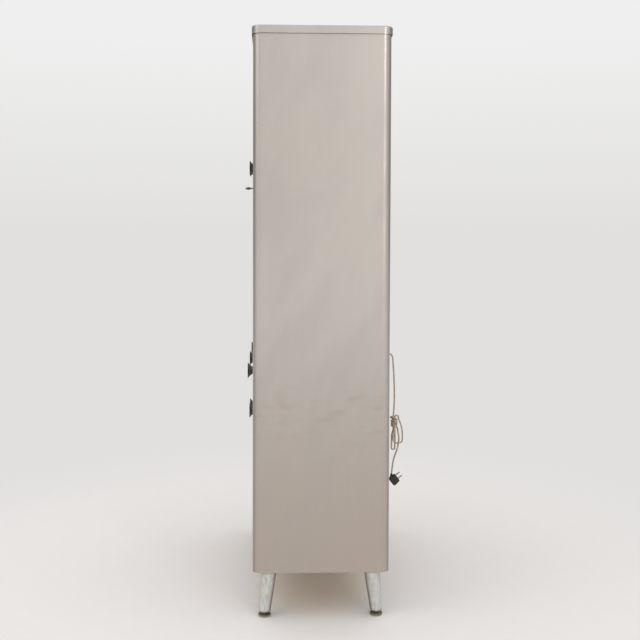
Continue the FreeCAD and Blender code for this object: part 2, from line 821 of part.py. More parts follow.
def shelf_standard(end):
    """A slotted upright on the right side, at the front (-1) or the back (+1) of the display compartment."""
    y = middle_y + end * standard_spread
    half = standard_width / 2
    points = ((inside_x, y + half), (standard_x, y + half), (standard_x, y - half), (inside_x, y - half))
    height = top_rail_bottom - upper_rail_top
    upright = folded_sheet(points, [fold_radius] * 2, sheet, in_plan(upper_rail_top), Vector(0, 0, height))
    count = int((height - first_slot) / slot_pitch)
    slots = []
    for n in range(count):
        z = upper_rail_top + first_slot + slot_pitch * n
        slots.append(box(standard_x - sheet, standard_x + 2 * sheet, y - slot_width / 2, y + slot_width / 2,
                         z - slot_height / 2, z + slot_height / 2))
    return upright.cut(Part.makeCompound(slots))


def shelf_clip(level, end):
    """A clip hooked into a standard on the right side, its tongue under a glass shelf."""
    y = middle_y + end * standard_spread
    points = ((standard_x, level - clip_drop), (standard_x, level), (standard_x - clip_reach, level))
    clip = folded_sheet(points, [fold_radius], clip_sheet, in_front(y - clip_width / 2),
                        Vector(0, clip_width, 0))
    half = slot_width / 2 - seat_gap
    low = level - clip_drop + clip_hook_lift
    hook = box(standard_x - clip_sheet / 2, standard_x + sheet + clip_sheet, y - half, y + half,
               low, low + clip_hook)
    return clip.fuse(hook).removeSplitter()


def glass_shelf(level):
    plate = box(-shelf_half_width, shelf_half_width, leaf_back_y + shelf_front_gap,
                back_inner_y - bay_back_gap, level, level + shelf_glass)
    return plate.makeFillet(shelf_edge_radius, plate.Edges)


def cupboard_shelf():
    """The cupboard's shelf: sheet with a flange turned down all round."""
    half = inside_x - cupboard_shelf_gap
    y0 = leaf_back_y + shelf_front_gap
    y1 = back_inner_y - cupboard_shelf_gap
    top = cupboard_shelf_height
    low = top - cupboard_shelf_flange
    radii = [cupboard_shelf_front_corner] * 2 + [pan_back_corner] * 2
    inner_radii = [radius - sheet for radius in radii]
    outer = rounded_block(-half, half, y0, y1, low, top, radii)
    hollow = rounded_block(-half + sheet, half - sheet, y0 + sheet, y1 - sheet, low, top - sheet, inner_radii)
    return outer.cut(hollow)


def shelf_angle():
    """The angle on the right side that carries the cupboard's shelf."""
    level = cupboard_shelf_height - cupboard_shelf_flange
    points = ((inside_x, level - angle_leg), (inside_x, level), (inside_x - angle_leg, level))
    return folded_sheet(points, [fold_radius], sheet, in_front(middle_y - angle_length / 2),
                        Vector(0, angle_length, 0))


def catch(x, level, underside):
    """A magnetic catch on a door's back; level is its lower end, underside what it hangs from."""
    face = leaf_back_y + seat_gap
    back = face + catch_depth
    body = box(x - catch_width / 2, x + catch_width / 2, face, back, level, level + catch_height)
    tongue = box(x - catch_width / 4, x + catch_width / 4, face + catch_depth / 3, back,
                 level + catch_height / 2, underside)
    return body.fuse(tongue).removeSplitter()


def lamp_housing():
    """The lamp's closed channel with its two lamp holders and the rocker's pocket."""
    half = lamp_housing_width / 2
    corners = ((lamp_y - half, lamp_bottom), (lamp_y + half, lamp_bottom), (lamp_y + half, top_rail_bottom),
               (lamp_y - half, top_rail_bottom))
    body = prism(corners, [lamp_edge_radius] * 2 + [0, 0], in_side(-lamp_housing_length / 2),
                 Vector(lamp_housing_length, 0, 0))
    wide = lamp_holder_width / 2
    low = lamp_axis_z - wide
    corners = ((lamp_y - wide, low), (lamp_y + wide, low), (lamp_y + wide, lamp_bottom),
               (lamp_y - wide, lamp_bottom))
    radii = [wide - half_round_margin] * 2 + [0, 0]
    for side in (-1, 1):
        x = side * (lamp_tube_length / 2 + lamp_holder_length / 2)
        holder = prism(corners, radii, in_side(x - lamp_holder_length / 2), Vector(lamp_holder_length, 0, 0))
        body = body.fuse(holder)
    reach = rocker_radius + rocker_gap
    width = rocker_width / 2 + rocker_gap
    pocket = box(rocker_x - width, rocker_x + width, lamp_y - reach, lamp_y + reach, lamp_bottom - sheet,
                 rocker_pivot_z + reach)
    width += rocker_pivot_bore
    pins = rod(rocker_pivot_radius + running_gap, Vector(rocker_x - width, lamp_y, rocker_pivot_z),
               Vector(rocker_x + width, lamp_y, rocker_pivot_z))
    return body.cut(pocket).cut(pins).removeSplitter()


def lamp_switch():
    """The rocker: a drum segment with two flat pads, tilted to its off side, on two stub pivots."""
    centre = Vector(rocker_x, lamp_y, rocker_pivot_z)
    half = Vector(rocker_width / 2, 0, 0)
    drum = rod(rocker_radius, centre - half, centre + half)
    low = lamp_bottom - rocker_proud - rocker_pivot_z
    slope = rocker_radius * math.tan(math.radians(rocker_tilt))
    reach = rocker_radius + rocker_trim
    outline = ((-reach, low - slope), (0, low), (reach, low - slope), (reach, rocker_radius),
               (-reach, rocker_radius))
    keep = prism(outline, [0] * 5, in_side(-rocker_width / 2), Vector(rocker_width, 0, 0))
    keep.translate(centre)
    rocker = drum.common(keep)
    for side in (-1, 1):
        start = centre + half * side
        rocker = rocker.fuse(rod(rocker_pivot_radius, start - Vector(side * rocker_pivot_radius, 0, 0),
                                 start + Vector(side * rocker_pivot_length, 0, 0)))
    rocker = rocker.removeSplitter()
    rocker.rotate(centre, Vector(1, 0, 0), -rocker_tilt)
    return rocker


def lamp_tube():
    """The tubular lamp: glass with a metal cap at each end."""
    half = lamp_tube_length / 2
    radius = lamp_tube_radius
    cap = lamp_cap_length
    edge = lamp_cap_edge
    glass = radius - lamp_cap_wall
    profile = (
        (0, -half), (radius - edge, -half), (radius, edge - half), (radius, cap - half), (glass, cap - half),
        (glass, half - cap), (radius, half - cap), (radius, half - edge), (radius - edge, half), (0, half),
    )
    return turned(profile, Vector(0, lamp_y, lamp_axis_z), Vector(1, 0, 0))


def cable_duct():
    """Two lengths of channel: down the back panel to the cord's outlet, and along the ceiling to the lamp."""
    half = duct_width / 2
    low = cord_exit_height - duct_end_drop
    points = ((cord_x + half, back_inner_y), (cord_x + half, duct_front_y), (cord_x - half, duct_front_y),
              (cord_x - half, back_inner_y))
    down = folded_sheet(points[::-1], [fold_radius] * 2, duct_sheet, in_plan(low),
                        Vector(0, 0, top_rail_bottom - low))
    depth = top_rail_bottom - duct_ceiling_depth
    points = ((cord_x + half, top_rail_bottom), (cord_x + half, depth), (cord_x - half, depth),
              (cord_x - half, top_rail_bottom))
    start = lamp_y + lamp_housing_width / 2
    along = folded_sheet(points[::-1], [fold_radius] * 2, duct_sheet, in_front(start),
                         Vector(0, duct_front_y - start, 0))
    return [down, along]


def cord_relief():
    """The rubber strain relief: sleeve inside, neck in the hole, collar and taper outside."""
    inner = back_inner_y - duct_front_y - duct_sheet - 2 * seat_gap
    collar = back_sheet + relief_collar_height
    outer = back_sheet + sheet + relief_reach
    profile = (
        (0, -inner), (relief_inner_radius, -inner), (relief_inner_radius, -relief_flange_height),
        (relief_sleeve_radius, -relief_flange_height), (relief_sleeve_radius, 0), (relief_neck_radius, 0),
        (relief_neck_radius, back_sheet), (relief_flange_radius, back_sheet), (relief_flange_radius, collar),
        (relief_neck_radius, collar), (relief_end_radius, outer), (0, outer),
    )
    return turned(profile, Vector(cord_x, back_inner_y, cord_exit_height), Vector(0, 1, 0))


def bend_radii(points):
    """The largest even bends that the runs of a free stretch allow."""
    line = [Vector(*point, 0) for point in points]
    radii = []
    for before, corner, after in zip(line, line[1:], line[2:]):
        half = (corner - before).getAngle(after - corner) / 2
        radii.append(bend_share * min((corner - before).Length, (after - corner).Length) / math.tan(half))
    return radii


def cord_tube(name, edges, radii):
    """One unbroken round tube along tangent lines and arcs; prints its length, bends and volume."""
    path = Part.Wire(edges)
    start = edges[0].valueAt(edges[0].FirstParameter)
    heading = edges[0].tangentAt(edges[0].FirstParameter)
    ring = Part.Wire(Part.makeCircle(cord_diameter / 2, start, heading))
    tube = path.makePipeShell([ring], True, False)
    tube = Part.Solid(tube) if tube.ShapeType == "Shell" else tube
    section = math.pi * cord_diameter ** 2 / 4
    print(f"{name}: {path.Length:.1f} mm, tightest bend {min(radii):.2f} mm, "
          f"volume {tube.Volume / (section * path.Length):.4f} of its section times its length")
    return tube


def free_stretch(name, route):
    radii = bend_radii(route)
    print(f"{name}: bend radii {[round(radius, 1) for radius in radii]}")
    edges = rounded_edges([Vector(*point, 0) for point in route], radii, in_side(cord_x))
    return cord_tube(name, edges, radii)


def biarcs(stations):
    """Pairs of arcs through a run of (point, heading) stations, each pair with two equal legs."""
    edges = []
    radii = []
    for (start, leave), (end, arrive) in zip(stations, stations[1:]):
        leave = Vector(leave).normalize()
        arrive = Vector(arrive).normalize()
        span = end - start
        square = 2 * (1 - leave.dot(arrive))
        linear = 2 * span.dot(leave + arrive)
        whole = span.dot(span)
        leg = whole / linear
        if square > 1e-9:
            leg = (math.sqrt(linear ** 2 + 4 * square * whole) - linear) / (2 * square)
        first = start + leave * leg
        second = end - arrive * leg
        joint = (first + second) / 2
        for a, corner, b in ((start, first, joint), (joint, second, end)):
            half = (corner - a).getAngle(b - corner) / 2
            if half < 1e-4:
                edges.append(Part.LineSegment(a, b).toShape())
                continue
            radius = (corner - a).Length / math.tan(half)
            inward = ((a + b) / 2 - corner).normalize()
            edges.append(Part.Arc(a, corner + inward * (radius / math.cos(half) - radius), b).toShape())
            radii.append(radius)
    return edges, radii


def around_hank(radius, turn, z):
    """A place at a radius and an angle from the hank's own axis."""
    return Vector(cord_x + radius * math.cos(turn), hank_axis_y + radius * math.sin(turn), z)


def core_place(angle, z):
    """Centre of one of the three strands inside the hank's winding."""
    return around_hank(hank_core_radius, math.radians(angle), z)


def wrap_station(angle, outward=0.0, upward=0.0, steeper=0.0):
    """A place on the winding round the hank, which comes down as angle falls."""
    turn = math.radians(angle)
    radius = hank_wrap_radius + outward
    rise = hank_wrap_pitch / (2 * math.pi)
    height = hank_wrap_top + upward + rise * (turn - math.radians(wrap_first))
    heading = Vector(math.sin(turn), -math.cos(turn), -rise / hank_wrap_radius - steeper)
    return around_hank(radius, turn, height), heading


def route_heading(before, after):
    """The way from one point of a free stretch to another."""
    return Vector(0, after[0] - before[0], after[1] - before[1])


def hank_stations():
    """The hank: a narrow loop and a wide one, with the cord's own end wound round their necks."""
    up = Vector(0, 0, 1)
    down = Vector(0, 0, -1)
    out = Vector(0, 1, 0)
    fold = hank_fold_radius
    fold_right_y = hank_fold_y + 2 * fold
    step_down, height_down = hank_fold_way_down
    step_up, height_up = hank_fold_way_up
    supply = -120
    narrow = 120
    wide = 0

    def at(x, y, z):
        return Vector(cord_x + x, y, z)

    crest = core_place(narrow, hank_core_top + hank_crest_lift) + out * hank_crest_out
    stations = [
        (at(0, *free_route[-1]), route_heading(*free_route[-2:])),
        (core_place(supply, hank_core_top), down),
        (core_place(supply, hank_core_bottom), down),
        (at(hank_fold_x, hank_fold_y + step_down, height_down), Vector(0, -0.03, -1)),
        (at(hank_fold_x, hank_fold_y, hank_fold_z), down),
        (at(hank_fold_x, hank_fold_y + fold, hank_fold_z - fold), out),
        (at(hank_fold_x, fold_right_y, hank_fold_z), up),
        (at(hank_fold_x, fold_right_y + step_up, height_up), up),
        (core_place(narrow, hank_core_bottom), up),
        (core_place(narrow, hank_core_top + 1.5), up),
        (crest, out),
    ]
    stations += [(at(*place), Vector(*heading)) for place, heading in hank_wide_loop]
    stations += [
        (core_place(wide, hank_core_bottom + 4), up),
        (core_place(wide, hank_core_top - 8.4), up),
        (at(5.7, hank_axis_y - 3.5, hank_core_top + 1.9), Vector(-0.24, -0.97, 0.76)),
        wrap_station(-115.5, 2.3, 3.5, 0.34),
    ]
    for n in range(wrap_steps + 1):
        stations.append(wrap_station(wrap_first + (wrap_last - wrap_first) * n / wrap_steps))
    leave_z = stations[-1][0].z
    stations.append((at(-8.2, 250.6, leave_z - 3.5), Vector(0.1, 0.75, -0.65)))
    stations += [(at(*place), Vector(*heading)) for place, heading in hank_way_out]
    stations.append((at(0, *tail_route[0]), route_heading(*tail_route[:2])))
    return stations


def least_gap(edges):
    """The least clearance between the cord and itself, on points along its centre line."""
    places = []
    along = []
    travelled = 0.0
    for edge in edges:
        count = max(2, int(edge.Length / least_gap_step))
        for n in range(count):
            share = edge.FirstParameter + (edge.LastParameter - edge.FirstParameter) * n / count
            places.append(edge.valueAt(share))
            along.append(travelled + edge.Length * n / count)
        travelled += edge.Length
    least = travelled
    for n, place in enumerate(places):
        for other, distance in zip(places[n:], along[n:]):
            if distance - along[n] > 3 * cord_diameter:
                least = min(least, place.distanceToPoint(other))
    return least - cord_diameter


def plug_point(along, across):
    """A flat point in the cord's plane, measured from the plug's centre along and across its blades."""
    tilt = math.radians(plug_tilt)
    return (plug_centre_y + along * math.cos(tilt) + across * math.sin(tilt),
            plug_centre_z + along * math.sin(tilt) - across * math.cos(tilt))


def plug_body():
    """The moulded plug, with the boot that takes the cord at its upper corner."""
    corners = [plug_point(*corner) for corner in plug_outline][::-1]
    half = plug_thickness / 2
    radii = (plug_back_corner, plug_front_corner, plug_front_corner, plug_back_corner)
    body = prism(corners, radii, in_side(cord_x - half), Vector(plug_thickness, 0, 0))
    flats = [edge for edge in body.Edges if edge.BoundBox.XLength < edge_tolerance]
    body = body.makeFillet(plug_edge_radius, flats)
    end = Vector(cord_x, *tail_route[-1])
    before = Vector(cord_x, *tail_route[-2])
    profile = ((0, 0), (boot_end_radius, 0), (boot_radius, boot_depth), (0, boot_depth))
    boot = turned(profile, end, end - before)
    return body.fuse(boot).removeSplitter()


def plug_blade(side):
    """One of the two flat blades, set about the plug's middle."""
    across = blade_offset + side * blade_pitch / 2
    low = across - blade_thickness / 2
    high = across + blade_thickness / 2
    tip = plug_face + blade_length
    corners = [plug_point(*point) for point in ((plug_face, low), (tip, low), (tip, high), (plug_face, high))]
    radii = (0, blade_corner_radius, blade_corner_radius, 0)
    return prism(corners, radii, in_side(cord_x - blade_width / 2), Vector(blade_width, 0, 0))


# Carcass
save("top_cap", top_cap())
right_panel = side_panel()
save("side_panel_right", right_panel)
save("side_panel_left", mirrored(right_panel))
save("back_panel", back_panel())
save("floor_pan", deck(bottom_rail_top, floor_flange, -1))
save("drawer_deck", deck(lower_rail_top, deck_flange, -1))
save("display_floor", display_floor())
save("ceiling_panel", deck(top_rail_bottom, ceiling_flange, 1))
save(
    "front_rails",
    front_rail(leg_height, bottom_rail_top, [bottom_rail_top]),
    front_rail(lower_rail_bottom, lower_rail_top, [lower_rail_bottom]),
    front_rail(upper_rail_bottom, upper_rail_top, [upper_rail_top]),
    front_rail(top_rail_bottom, cap_underside, [top_rail_bottom]),
)
save("drawer_partitions", partition(-1), partition(1))
save("drawer_runners", *drawer_runners())

# Legs and feet
corners = [(side, end) for end in (-1, 1) for side in (-1, 1)]
save("leg_brackets", *[leg_bracket(*corner) for corner in corners])
save("legs", *[leg(*corner) for corner in corners])
for side, end in corners:
    name = f"foot_{'front' if end < 0 else 'back'}_{'left' if side < 0 else 'right'}"
    save(name, foot(side, end))

# Hinge pins and catches
pins = []
for low, high in ((bottom_rail_top, lower_rail_bottom), (upper_rail_top, top_rail_bottom)):
    pins += pivot_pin(low, 1) + pivot_pin(high, -1)
save("pivot_pins", *pins)
save(
    "door_catches",
    *[catch(side * catch_offset, top_rail_bottom - catch_height, top_rail_bottom) for side in (-1, 1)],
    *[catch(side * catch_offset, lower_door_top - catch_height, lower_rail_top - sheet) for side in (-1, 1)],
)

# Upper doors
plain_frame, lock_frame = upper_door_frame()
plain_liner, lock_liner = upper_door_liner()
pane = window(glazing_lap, front_y + glazing_rebate, front_y + glazing_rebate + door_glass)
upper_knob = knob(door_knob_offset, upper_knob_height)
save("upper_door_frame_right", lock_frame)
save("upper_door_frame_left", mirrored(plain_frame))
save("upper_door_liner_right", lock_liner)
save("upper_door_liner_left", mirrored(plain_liner))
save("upper_door_glass_right", pane)
save("upper_door_glass_left", mirrored(pane))
save("upper_door_knob_right", upper_knob)
save("upper_door_knob_left", mirrored(upper_knob))
save("lock_body", lock_body())
save("lock_plug", lock_plug())
save("lock_key", lock_key())

# Lower doors
lower_pan = door_pan(lower_door_bottom, lower_door_top, lower_knob_height)
lower_liner = box(leaf_free_x, leaf_edge_x, liner_front_y, leaf_back_y, lower_door_bottom, lower_door_top)
lower_knob = knob(door_knob_offset, lower_knob_height)
save("lower_door_pan_right", lower_pan)
save("lower_door_pan_left", mirrored(lower_pan))
save("lower_door_liner_right", lower_liner)
save("lower_door_liner_left", mirrored(lower_liner))
save("lower_door_knob_right", lower_knob)
save("lower_door_knob_left", mirrored(lower_knob))

# Drawers
for name, x in (("left", -drawer_pitch), ("middle", 0), ("right", drawer_pitch)):
    save(f"drawer_front_{name}", drawer_front(x))
    save(f"drawer_box_{name}", drawer_box(x))
    save(f"drawer_knob_{name}", knob(x, (drawer_front_bottom + drawer_front_top) / 2))

# Shelves
standards = [shelf_standard(end) for end in (-1, 1)]
save("shelf_standards", *standards, *[mirrored(standard) for standard in standards])
clips = [shelf_clip(level, end) for level in shelf_levels for end in (-1, 1)]
supports = clips + [shelf_angle()]
save("shelf_supports", *supports, *[mirrored(support) for support in supports])
save("glass_shelves", *[glass_shelf(level) for level in shelf_levels])
save("cupboard_shelf", cupboard_shelf())

# Lamp and cord outlet
save("lamp_housing", lamp_housing())
save("lamp_tube", lamp_tube())
save("lamp_switch", lamp_switch())
save("cable_duct", *cable_duct())
save("cord_relief", cord_relief())

# Cord and plug
relief_end = (relief_end_y, cord_exit_height)
save("power_cord", free_stretch("power_cord", (relief_end,) + free_route))
hank_edges, hank_radii = biarcs(hank_stations())
print(f"cord_hank: least gap to itself {least_gap(hank_edges):.2f} mm")
save("cord_hank", cord_tube("cord_hank", hank_edges, hank_radii))
save("cord_tail", free_stretch("cord_tail", tail_route))
save("plug_body", plug_body())
save("plug_blades", *[plug_blade(side) for side in (-1, 1)])
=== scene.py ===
import math

import bmesh
import bpy
from mathutils import Matrix, Vector


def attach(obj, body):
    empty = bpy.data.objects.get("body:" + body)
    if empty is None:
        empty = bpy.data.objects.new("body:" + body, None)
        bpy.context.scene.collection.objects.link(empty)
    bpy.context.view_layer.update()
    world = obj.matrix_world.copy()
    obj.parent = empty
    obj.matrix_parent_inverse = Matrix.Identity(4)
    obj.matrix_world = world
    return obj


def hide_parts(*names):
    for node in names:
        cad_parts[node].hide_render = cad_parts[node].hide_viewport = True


bl_info = {
    "name": "Steel display cabinet",
    "version": (1, 0, 0),
    "blender": (4, 5, 0),
    "location": "View3D > Sidebar > Cabinet",
    "description": "Dresses the steel display cabinet: finishes, cord, small hardware and studio",
    "category": "Object",
}

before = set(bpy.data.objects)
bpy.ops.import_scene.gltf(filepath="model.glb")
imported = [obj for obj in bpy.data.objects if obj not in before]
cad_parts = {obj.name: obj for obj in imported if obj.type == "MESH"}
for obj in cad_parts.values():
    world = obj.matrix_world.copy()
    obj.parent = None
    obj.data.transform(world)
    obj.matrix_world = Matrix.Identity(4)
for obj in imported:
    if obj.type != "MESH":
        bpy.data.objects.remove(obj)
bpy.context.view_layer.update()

# The cord leaves through the back panel, falls, is tied up in two loops with its own end, and ends in a plug.
CORD_X = 0.295
CORD_FALL = (
    (0.2218, 0.7685), (0.2296, 0.7685), (0.2358, 0.7642), (0.2382, 0.7562), (0.2391, 0.7397),
    (0.2416, 0.7078), (0.2439, 0.6500), (0.2432, 0.6110), (0.2416, 0.5860),
)
CORD_NARROW_LOOP = (
    (0.2950, 0.2414, 0.5825), (0.2935, 0.2406, 0.5755), (0.2935, 0.2406, 0.5635), (0.2935, 0.2406, 0.5465),
    (0.2935, 0.2406, 0.5323), (0.2925, 0.2364, 0.5217), (0.2925, 0.2359, 0.5066), (0.2925, 0.2356, 0.4876),
    (0.2925, 0.2356, 0.4804), (0.2925, 0.2356, 0.4761), (0.2925, 0.2386, 0.4731), (0.2925, 0.2427, 0.4731),
    (0.2925, 0.2457, 0.4761), (0.2925, 0.2457, 0.4804), (0.2925, 0.2462, 0.4983),
)
CORD_CREST = (
    (0.2925, 0.2462, 0.5133), (0.2935, 0.2458, 0.5297), (0.2935, 0.2458, 0.5469), (0.2935, 0.2458, 0.5646),
    (0.2935, 0.2458, 0.5712), (0.2935, 0.24595, 0.5756), (0.2935, 0.2489, 0.5787), (0.2935, 0.2532, 0.5789),
    (0.2935, 0.2564, 0.5760), (0.2937, 0.2565, 0.5689),
)
CORD_WIDE_LOOP = (
    (0.2937, 0.2605, 0.5605), (0.2948, 0.2636, 0.5523), (0.2954, 0.2667, 0.5411), (0.2966, 0.2685, 0.5271),
    (0.2972, 0.2687, 0.5157), (0.2978, 0.2685, 0.5072), (0.2981, 0.2676, 0.4999), (0.2989, 0.2637, 0.4953),
    (0.2991, 0.2578, 0.4951), (0.2997, 0.2521, 0.4945), (0.3003, 0.2466, 0.4947), (0.3011, 0.2425, 0.4982),
    (0.3014, 0.2395, 0.5035), (0.3014, 0.2392, 0.5105), (0.3014, 0.2400, 0.5181), (0.3009, 0.2419, 0.5260),
    (0.3000, 0.2428, 0.5330), (0.2980, 0.2432, 0.5389), (0.2980, 0.2432, 0.5474), (0.2980, 0.2432, 0.5582),
)
CORD_WRAP_LEAD = (
    (0.2980, 0.2432, 0.5605), (0.2980, 0.2432, 0.5667), (0.3013, 0.2421, 0.5720), (0.2999, 0.2365, 0.5764),
    (0.2938, 0.2320, 0.5731), (0.2882, 0.2346, 0.5704), (0.2874, 0.2389, 0.5675),
)
CORD_TAIL_LEAD = (
    (0.2862, 0.2430, 0.5455), (0.2865, 0.2485, 0.5442), (0.2874, 0.2550, 0.5385), (0.2877, 0.2556, 0.5267),
    (0.2882, 0.2577, 0.5174), (0.2887, 0.2591, 0.5102), (0.2893, 0.2589, 0.5027), (0.2910, 0.2578, 0.4953),
    (0.2920, 0.2562, 0.4877), (0.2950, 0.2548, 0.4807),
)
CORD_TAIL = (
    (0.2536, 0.4770), (0.2494, 0.4636), (0.2440, 0.4502), (0.2398, 0.4310), (0.2372, 0.4105),
    (0.2360, 0.3985),
)
HANK_Y = 0.2432
# The winding goes down round the necks of the loops: its first angle, the angle it stops short of and its
# step, in degrees, and the angle at which it is as high as WRAP_TOP
WRAP_ANGLES = (-183, -1594, -30)
WRAP_START = -168
WRAP_TOP = 0.5672

PLUG_Y = 0.2436
PLUG_Z = 0.3797
PLUG_TILT = 37

# Places of the cabinet that the finishes and the small hardware keep to, in metres
MIDDLE_Y = 0.0132
BACK_Y = 0.2140
GLASS_FRONT_Y = -0.1828
GLASS_BACK_Y = -0.1788
WINDOW_X = (0.0675, 0.342)
WINDOW_Z = (0.856, 1.632)
STANDARD_X = 0.4128
STANDARD_Y = (-0.1068, 0.1332)
BAY_BOTTOM = 0.798
BAY_TOP = 1.690
LAMP_Y = -0.1328
LAMP_Z = 1.650
LAMP_UNDERSIDE = 1.668
LAMP_HOLDER_X = 0.2745

# Screws: the back panel's in two upright rows and two level ones, the standards' and the lamp channel's;
# STANDARD_SCREW and LAMP_SCREW are the radius and height of a head
BACK_ROW_X = 0.383
BACK_ROW_HEIGHTS = (0.190, 0.450, 0.715, 0.980, 1.245, 1.510, 1.695)
BACK_LEVEL_XS = (-0.2, 0.0, 0.2)
BACK_LEVEL_HEIGHTS = (0.155, 1.715)
STANDARD_SCREW_HEIGHTS = (BAY_BOTTOM + 0.02, 1.258, BAY_TOP - 0.05)
STANDARD_SCREW = (0.0034, 0.0018)
LAMP_SCREW_XS = (-0.24, 0.0, 0.24)
LAMP_SCREW = (0.0036, 0.0020)

# The plug's grip ribs, in the plug's own axes before it is tilted
RIB_COUNT = 5
RIB_FIRST = -0.0065
RIB_PITCH = 0.0032
RIB_FACE = 0.0078
RIB_HEIGHT = 0.0009
RIB_HALF_WIDTH = 0.0007
RIB_REACH = (-0.0075, 0.0085)
RIB_EDGE = 0.0004

WINDOW_CORNER = 0.008
BEZEL_PROFILE = (
    (0.0082, 0), (0.0105, 0), (0.0112, 0.0008), (0.0112, 0.0022), (0.0095, 0.0030), (0.0082, 0.0030),
    (0.0082, 0),
)

# Studio: each softbox with its place, what it is aimed at, its width and height, and its power in watts
SOFTBOXES = (
    ("key_softbox", (1.6, -2.9, 2.9), (0, 0, 0.4), (2.2, 2.2), 14),
    ("side_softbox", (3.6, 0.9, 2.2), (0, 0, 1.0), (2.0, 2.6), 3),
    ("edge_strip", (2.9, 1.4, 2.1), (0.4, 0.2, 1.45), (0.22, 1.6), 8),
    ("top_softbox", (0.3, -0.3, 3.6), (0, 0, 0), (2.4, 2.4), 6),
)
BACKDROP = "E1E0DE"
FLOOR_RADIUS = 40

# Camera: on the cabinet's right, about two degrees off square; the angles are in degrees
CAMERA_X = 3.067
CAMERA_Y = -0.1329
CAMERA_SWING = 2.016
CAMERA_TILT = 1.690
CAMERA_ROLL = 0.155
CAMERA_LENS = 51.23
CAMERA_SHIFT = (0.0250, -0.10)


class CabinetSizes(bpy.types.PropertyGroup):
    """Sizes of the cord and of the small hardware"""

    cord_diameter: bpy.props.FloatProperty(
        name="Cord diameter", description="Diameter of the round cord",
        default=0.0048, unit="LENGTH", subtype="DISTANCE",
    )
    cord_length: bpy.props.FloatProperty(
        name="Cord length", description="Length of the cord from the back panel to the plug",
        default=1.0, unit="LENGTH", subtype="DISTANCE",
    )
    wrap_radius: bpy.props.FloatProperty(
        name="Winding radius", description="Radius of the winding round the tied cord, at its control points",
        default=0.00864, unit="LENGTH", subtype="DISTANCE",
    )
    wrap_pitch: bpy.props.FloatProperty(
        name="Winding pitch", description="Rise of one turn of the winding",
        default=0.00537, unit="LENGTH", subtype="DISTANCE",
    )
    screw_radius: bpy.props.FloatProperty(
        name="Screw head radius", description="Radius of the back panel's pan-head screws",
        default=0.0038, unit="LENGTH", subtype="DISTANCE",
    )
    gasket_radius: bpy.props.FloatProperty(
        name="Glazing bead radius", description="Half the thickness of the bead round the door glass",
        default=0.0016, unit="LENGTH", subtype="DISTANCE",
    )
    camera_height: bpy.props.FloatProperty(
        name="Camera height", description="Height of the lens above the floor",
        default=1.150, unit="LENGTH", subtype="DISTANCE",
    )


class CabinetColours(bpy.types.PropertyGroup):
    """Colours of the finishes, as sRGB hex values"""

    steel: bpy.props.StringProperty(
        name="Steel", description="Linished and lacquered mild steel sheet", default="C6C0BC",
    )
    # Colour low on the sheet: yellowed lacquer, and painted shade where the sheet darkens towards the bottom
    steel_aged_and_shaded: bpy.props.StringProperty(
        name="Aged steel", description="Yellowed lacquer and dirt low on the sheet", default="B4A99F",
    )
    leg: bpy.props.StringProperty(
        name="Legs", description="Satin cast aluminium", default="E6E6E2",
    )
    knob: bpy.props.StringProperty(
        name="Knobs", description="Blackened steel of knobs, key and lock", default="6A665F",
    )
    cord: bpy.props.StringProperty(
        name="Cord", description="Aged cream PVC jacket", default="B5A693",
    )
    plastic: bpy.props.StringProperty(
        name="Black plastic", description="Moulded plug, rocker and catches", default="171716",
    )
    enamel: bpy.props.StringProperty(
        name="Lamp enamel", description="White baked enamel of the lamp channel", default="E4E3DC",
    )
    floor: bpy.props.StringProperty(
        name="Floor", description="Pale studio floor", default="E9E4E0",
    )


def to_linear(code, alpha=1.0):
    """An sRGB hex colour as the linear values that Blender works in."""
    channels = [int(code[n:n + 2], 16) / 255 for n in (0, 2, 4)]
    linear = [c / 12.92 if c <= 0.04045 else ((c + 0.055) / 1.055) ** 2.4 for c in channels]
    return (*linear, alpha)


def add_node(tree, kind, links=(), **settings):
    """Adds a node, sets its properties or sockets by name, and links sockets into its inputs."""
    node = tree.nodes.new(kind)
    for key, value in settings.items():
        if hasattr(node, key):
            setattr(node, key, value)
        else:
            node.inputs[key.replace("_", " ")].default_value = value
    for socket, source in dict(links).items():
        if isinstance(source, float):
            node.inputs[socket].default_value = source
        else:
            tree.links.new(source, node.inputs[socket])
    return node


def new_material(name):
    """A material with its surface shader, the node tree and the place on the object in metres."""
    material = bpy.data.materials.new(name)
    material.use_nodes = True
    tree = material.node_tree
    shader = tree.nodes["Principled BSDF"]
    place = add_node(tree, "ShaderNodeTexCoord").outputs["Object"]
    return material, tree, shader, place


def noise_at(tree, place, size_mm, detail=3.0, roughness=0.5, lean=0.0):
    """Noise from 0 to 1 whose features measure size_mm along each axis and lean by degrees towards +Y."""
    scale = add_node(tree, "ShaderNodeMapping", {"Vector": place}, vector_type="TEXTURE")
    scale.inputs["Scale"].default_value = tuple(size / 1000 for size in size_mm)
    scale.inputs["Rotation"].default_value = (math.radians(-lean), 0, 0)
    noise = add_node(
        tree, "ShaderNodeTexNoise", {"Vector": scale.outputs["Vector"]},
        Scale=1.0, Detail=detail, Roughness=roughness,
    )
    return noise.outputs["Fac"]


def ranged(tree, value, low, high, to_low, to_high, smooth=False):
    """Maps a value from one range to another, clamped."""
    node = add_node(tree, "ShaderNodeMapRange", {"Value": value})
    node.interpolation_type = "SMOOTHSTEP" if smooth else "LINEAR"
    for name, number in (("From Min", low), ("From Max", high), ("To Min", to_low), ("To Max", to_high)):
        node.inputs[name].default_value = number
    return node.outputs["Result"]


def blended(tree, share, first, second):
    """A colour between two, each a socket or a linear colour."""
    node = add_node(tree, "ShaderNodeMix", data_type="RGBA")
    tree.links.new(share, node.inputs["Factor"])
    for name, colour in (("A", first), ("B", second)):
        socket = [s for s in node.inputs if s.name == name and s.type == "RGBA"][0]
        if isinstance(colour, tuple):
            socket.default_value = colour
        else:
            tree.links.new(colour, socket)
    return [s for s in node.outputs if s.type == "RGBA"][0]


